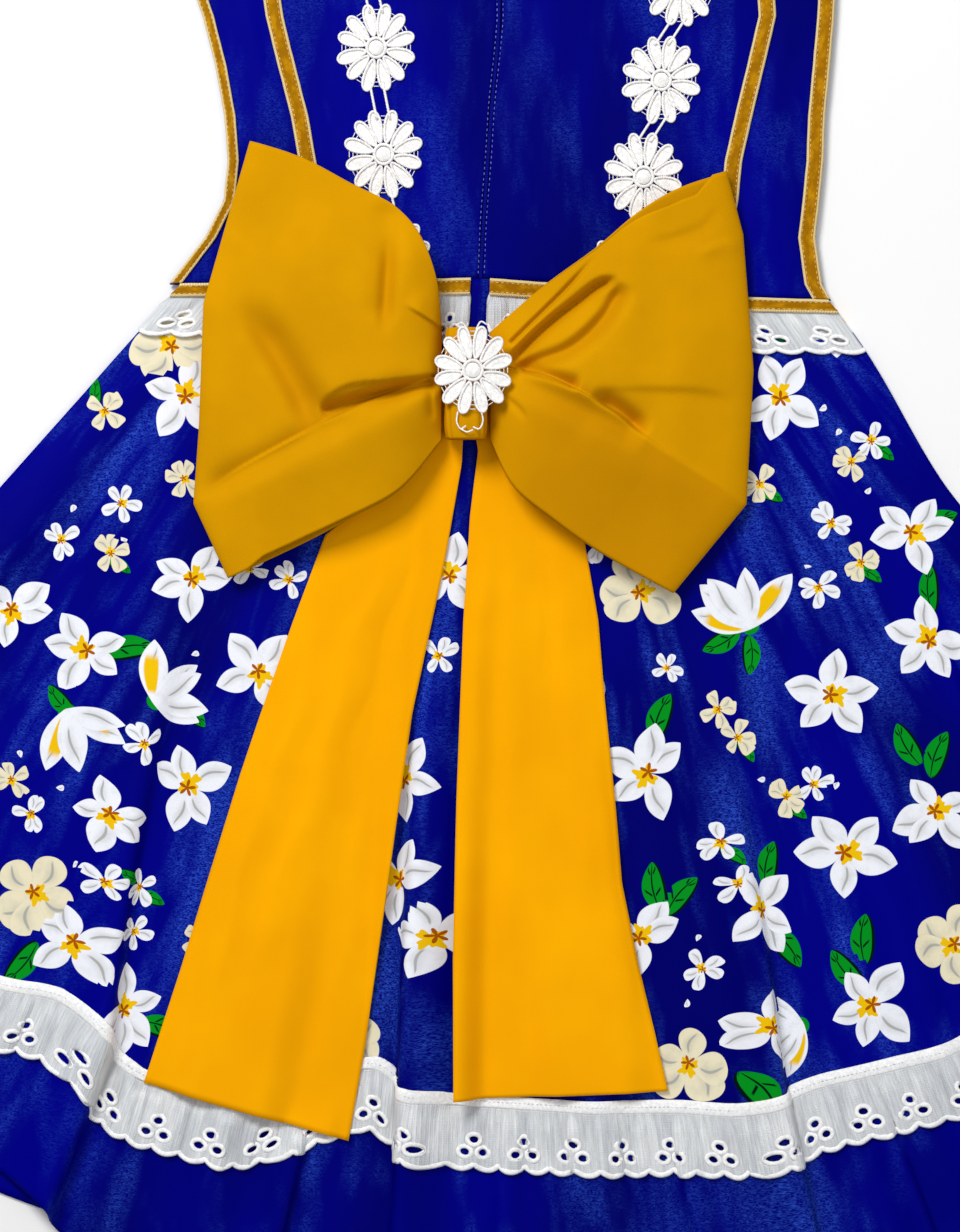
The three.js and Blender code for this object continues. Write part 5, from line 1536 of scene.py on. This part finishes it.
def build_bow_daisy():
    top = BOW_BASE + KNOT["tall"] + 2 * SEAM

    def z_at(x, y):
        return top - BOW_DAISY["droop"] * (x - BOW_DAISY["x"]) ** 2 + 0 * y

    work = Joined()
    add_daisy(work, BOW_DAISY["x"], BOW_DAISY["y"], z_at, 77)
    for line in THREAD_ENDS:
        plan = through(from_photo(line), np.linspace(0, 1, 14))
        z = z_at(plan[:, 0], plan[:, 1]) + THREAD_RADIUS
        work.add(*tube(np.concatenate([plan, z[:, None]], 1), THREAD_RADIUS, squash=0.8))
    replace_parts(work.piece("bow_daisy_guipure", GUIPURE, "guipure"), "bow_daisy")


# ---- zip ----
TAPE_ROWS = (-1.7, 1.9)  # the stitches' distance from the middle of the coil


def build_zip():
    """The coil, slider and pull stay the part's own; two rows of stitches hold the tape."""
    for node, finish in (("zip_coil", zip_material()), ("zip_slider", enamel_material()),
                         ("zip_pull", enamel_material())):
        mesh = bpy.data.objects[node].data
        mesh.materials.clear()
        mesh.materials.append(finish)
    work = Joined()
    y = np.linspace(16, 372, 300)
    for aside in TAPE_ROWS:
        x = seam_x("zip", y) + aside + 0.25 * np.sin(y * 0.09)
        dashes(work, np.stack([x, y, BACK_BASE + CLOTH + bodice_lift(x, y)], -1), "zip")
    work.piece("zip_stitches", BLUE_STITCH, "zip_tape")


# ---- stage ----
VIEW = {"x": -12.0, "y": -189.6, "high": 739.2, "distance": 2200.0}
SENSOR, WORLD_LIGHT, FLOOR_SIZE, FLOOR_DROP = 36, 0.28, 8, 0.0005
# Name, place in metres, size, power.
LIGHTS = [
    ("key", (-0.95, 1.4, 1.9), 0.9, 57), ("fill", (1.7, -0.9, 1.8), 1.8, 11),
    ("top", (0.0, 0.0, 2.9), 2.4, 16),
]


def area_light(name, place, size, power):
    light = bpy.data.lights.new(name, "AREA")
    light.energy, light.size = power, size
    lamp = bpy.data.objects.new(name, light)
    bpy.context.scene.collection.objects.link(lamp)
    lamp.location = place
    x, y, z = np.array(place) - [VIEW["x"] * MM, VIEW["y"] * MM, 0]
    lamp.rotation_euler = math.atan2(math.hypot(x, y), z), 0, math.atan2(y, x) + math.pi / 2


def build_stage():
    bpy.ops.mesh.primitive_plane_add(size=FLOOR_SIZE, location=(0, 0, -FLOOR_DROP))
    floor = bpy.context.object
    floor.name = "floor"
    paint = Paint("floor", 0.9)
    paint.colour(paint.mix(paint.noise(paint.place(), 3.0), (0.84, 0.84, 0.84), (0.9, 0.9, 0.9)))
    floor.data.materials.append(paint.material)
    for light in LIGHTS:
        area_light(*light)
    world = bpy.data.worlds.new("studio")
    world.use_nodes = True
    background = world.node_tree.nodes["Background"].inputs
    background["Color"].default_value = (1, 1, 1, 1)
    background["Strength"].default_value = WORLD_LIGHT
    bpy.context.scene.world = world
    lens = bpy.data.cameras.new("camera")
    lens.sensor_width = SENSOR
    lens.lens = SENSOR * VIEW["distance"] / VIEW["high"]
    lens.clip_end = 20
    camera = bpy.data.objects.new("camera", lens)
    bpy.context.scene.collection.objects.link(camera)
    camera.location = (VIEW["x"] * MM, VIEW["y"] * MM, (VIEW["distance"] + 10) * MM)
    bpy.context.scene.camera = camera
    bpy.context.scene.view_settings.view_transform = "Standard"


build_stage()
build_front()
build_bodice()
build_skirt_back()
build_flounce_back()
build_hem_lace()
build_waist_trims()
build_seam_ribbons()
build_daisy_chain("left", LEFT_DAISIES)
build_daisy_chain("right", RIGHT_DAISIES)
build_tail("left", LEFT_TAIL)
build_tail("right", RIGHT_TAIL)
build_loop("left", LEFT_LOOP, LEFT_FOLDS, LEFT_BAND)
build_loop("right", RIGHT_LOOP, RIGHT_FOLDS, RIGHT_BAND)
build_knot()
build_bow_daisy()
build_zip()
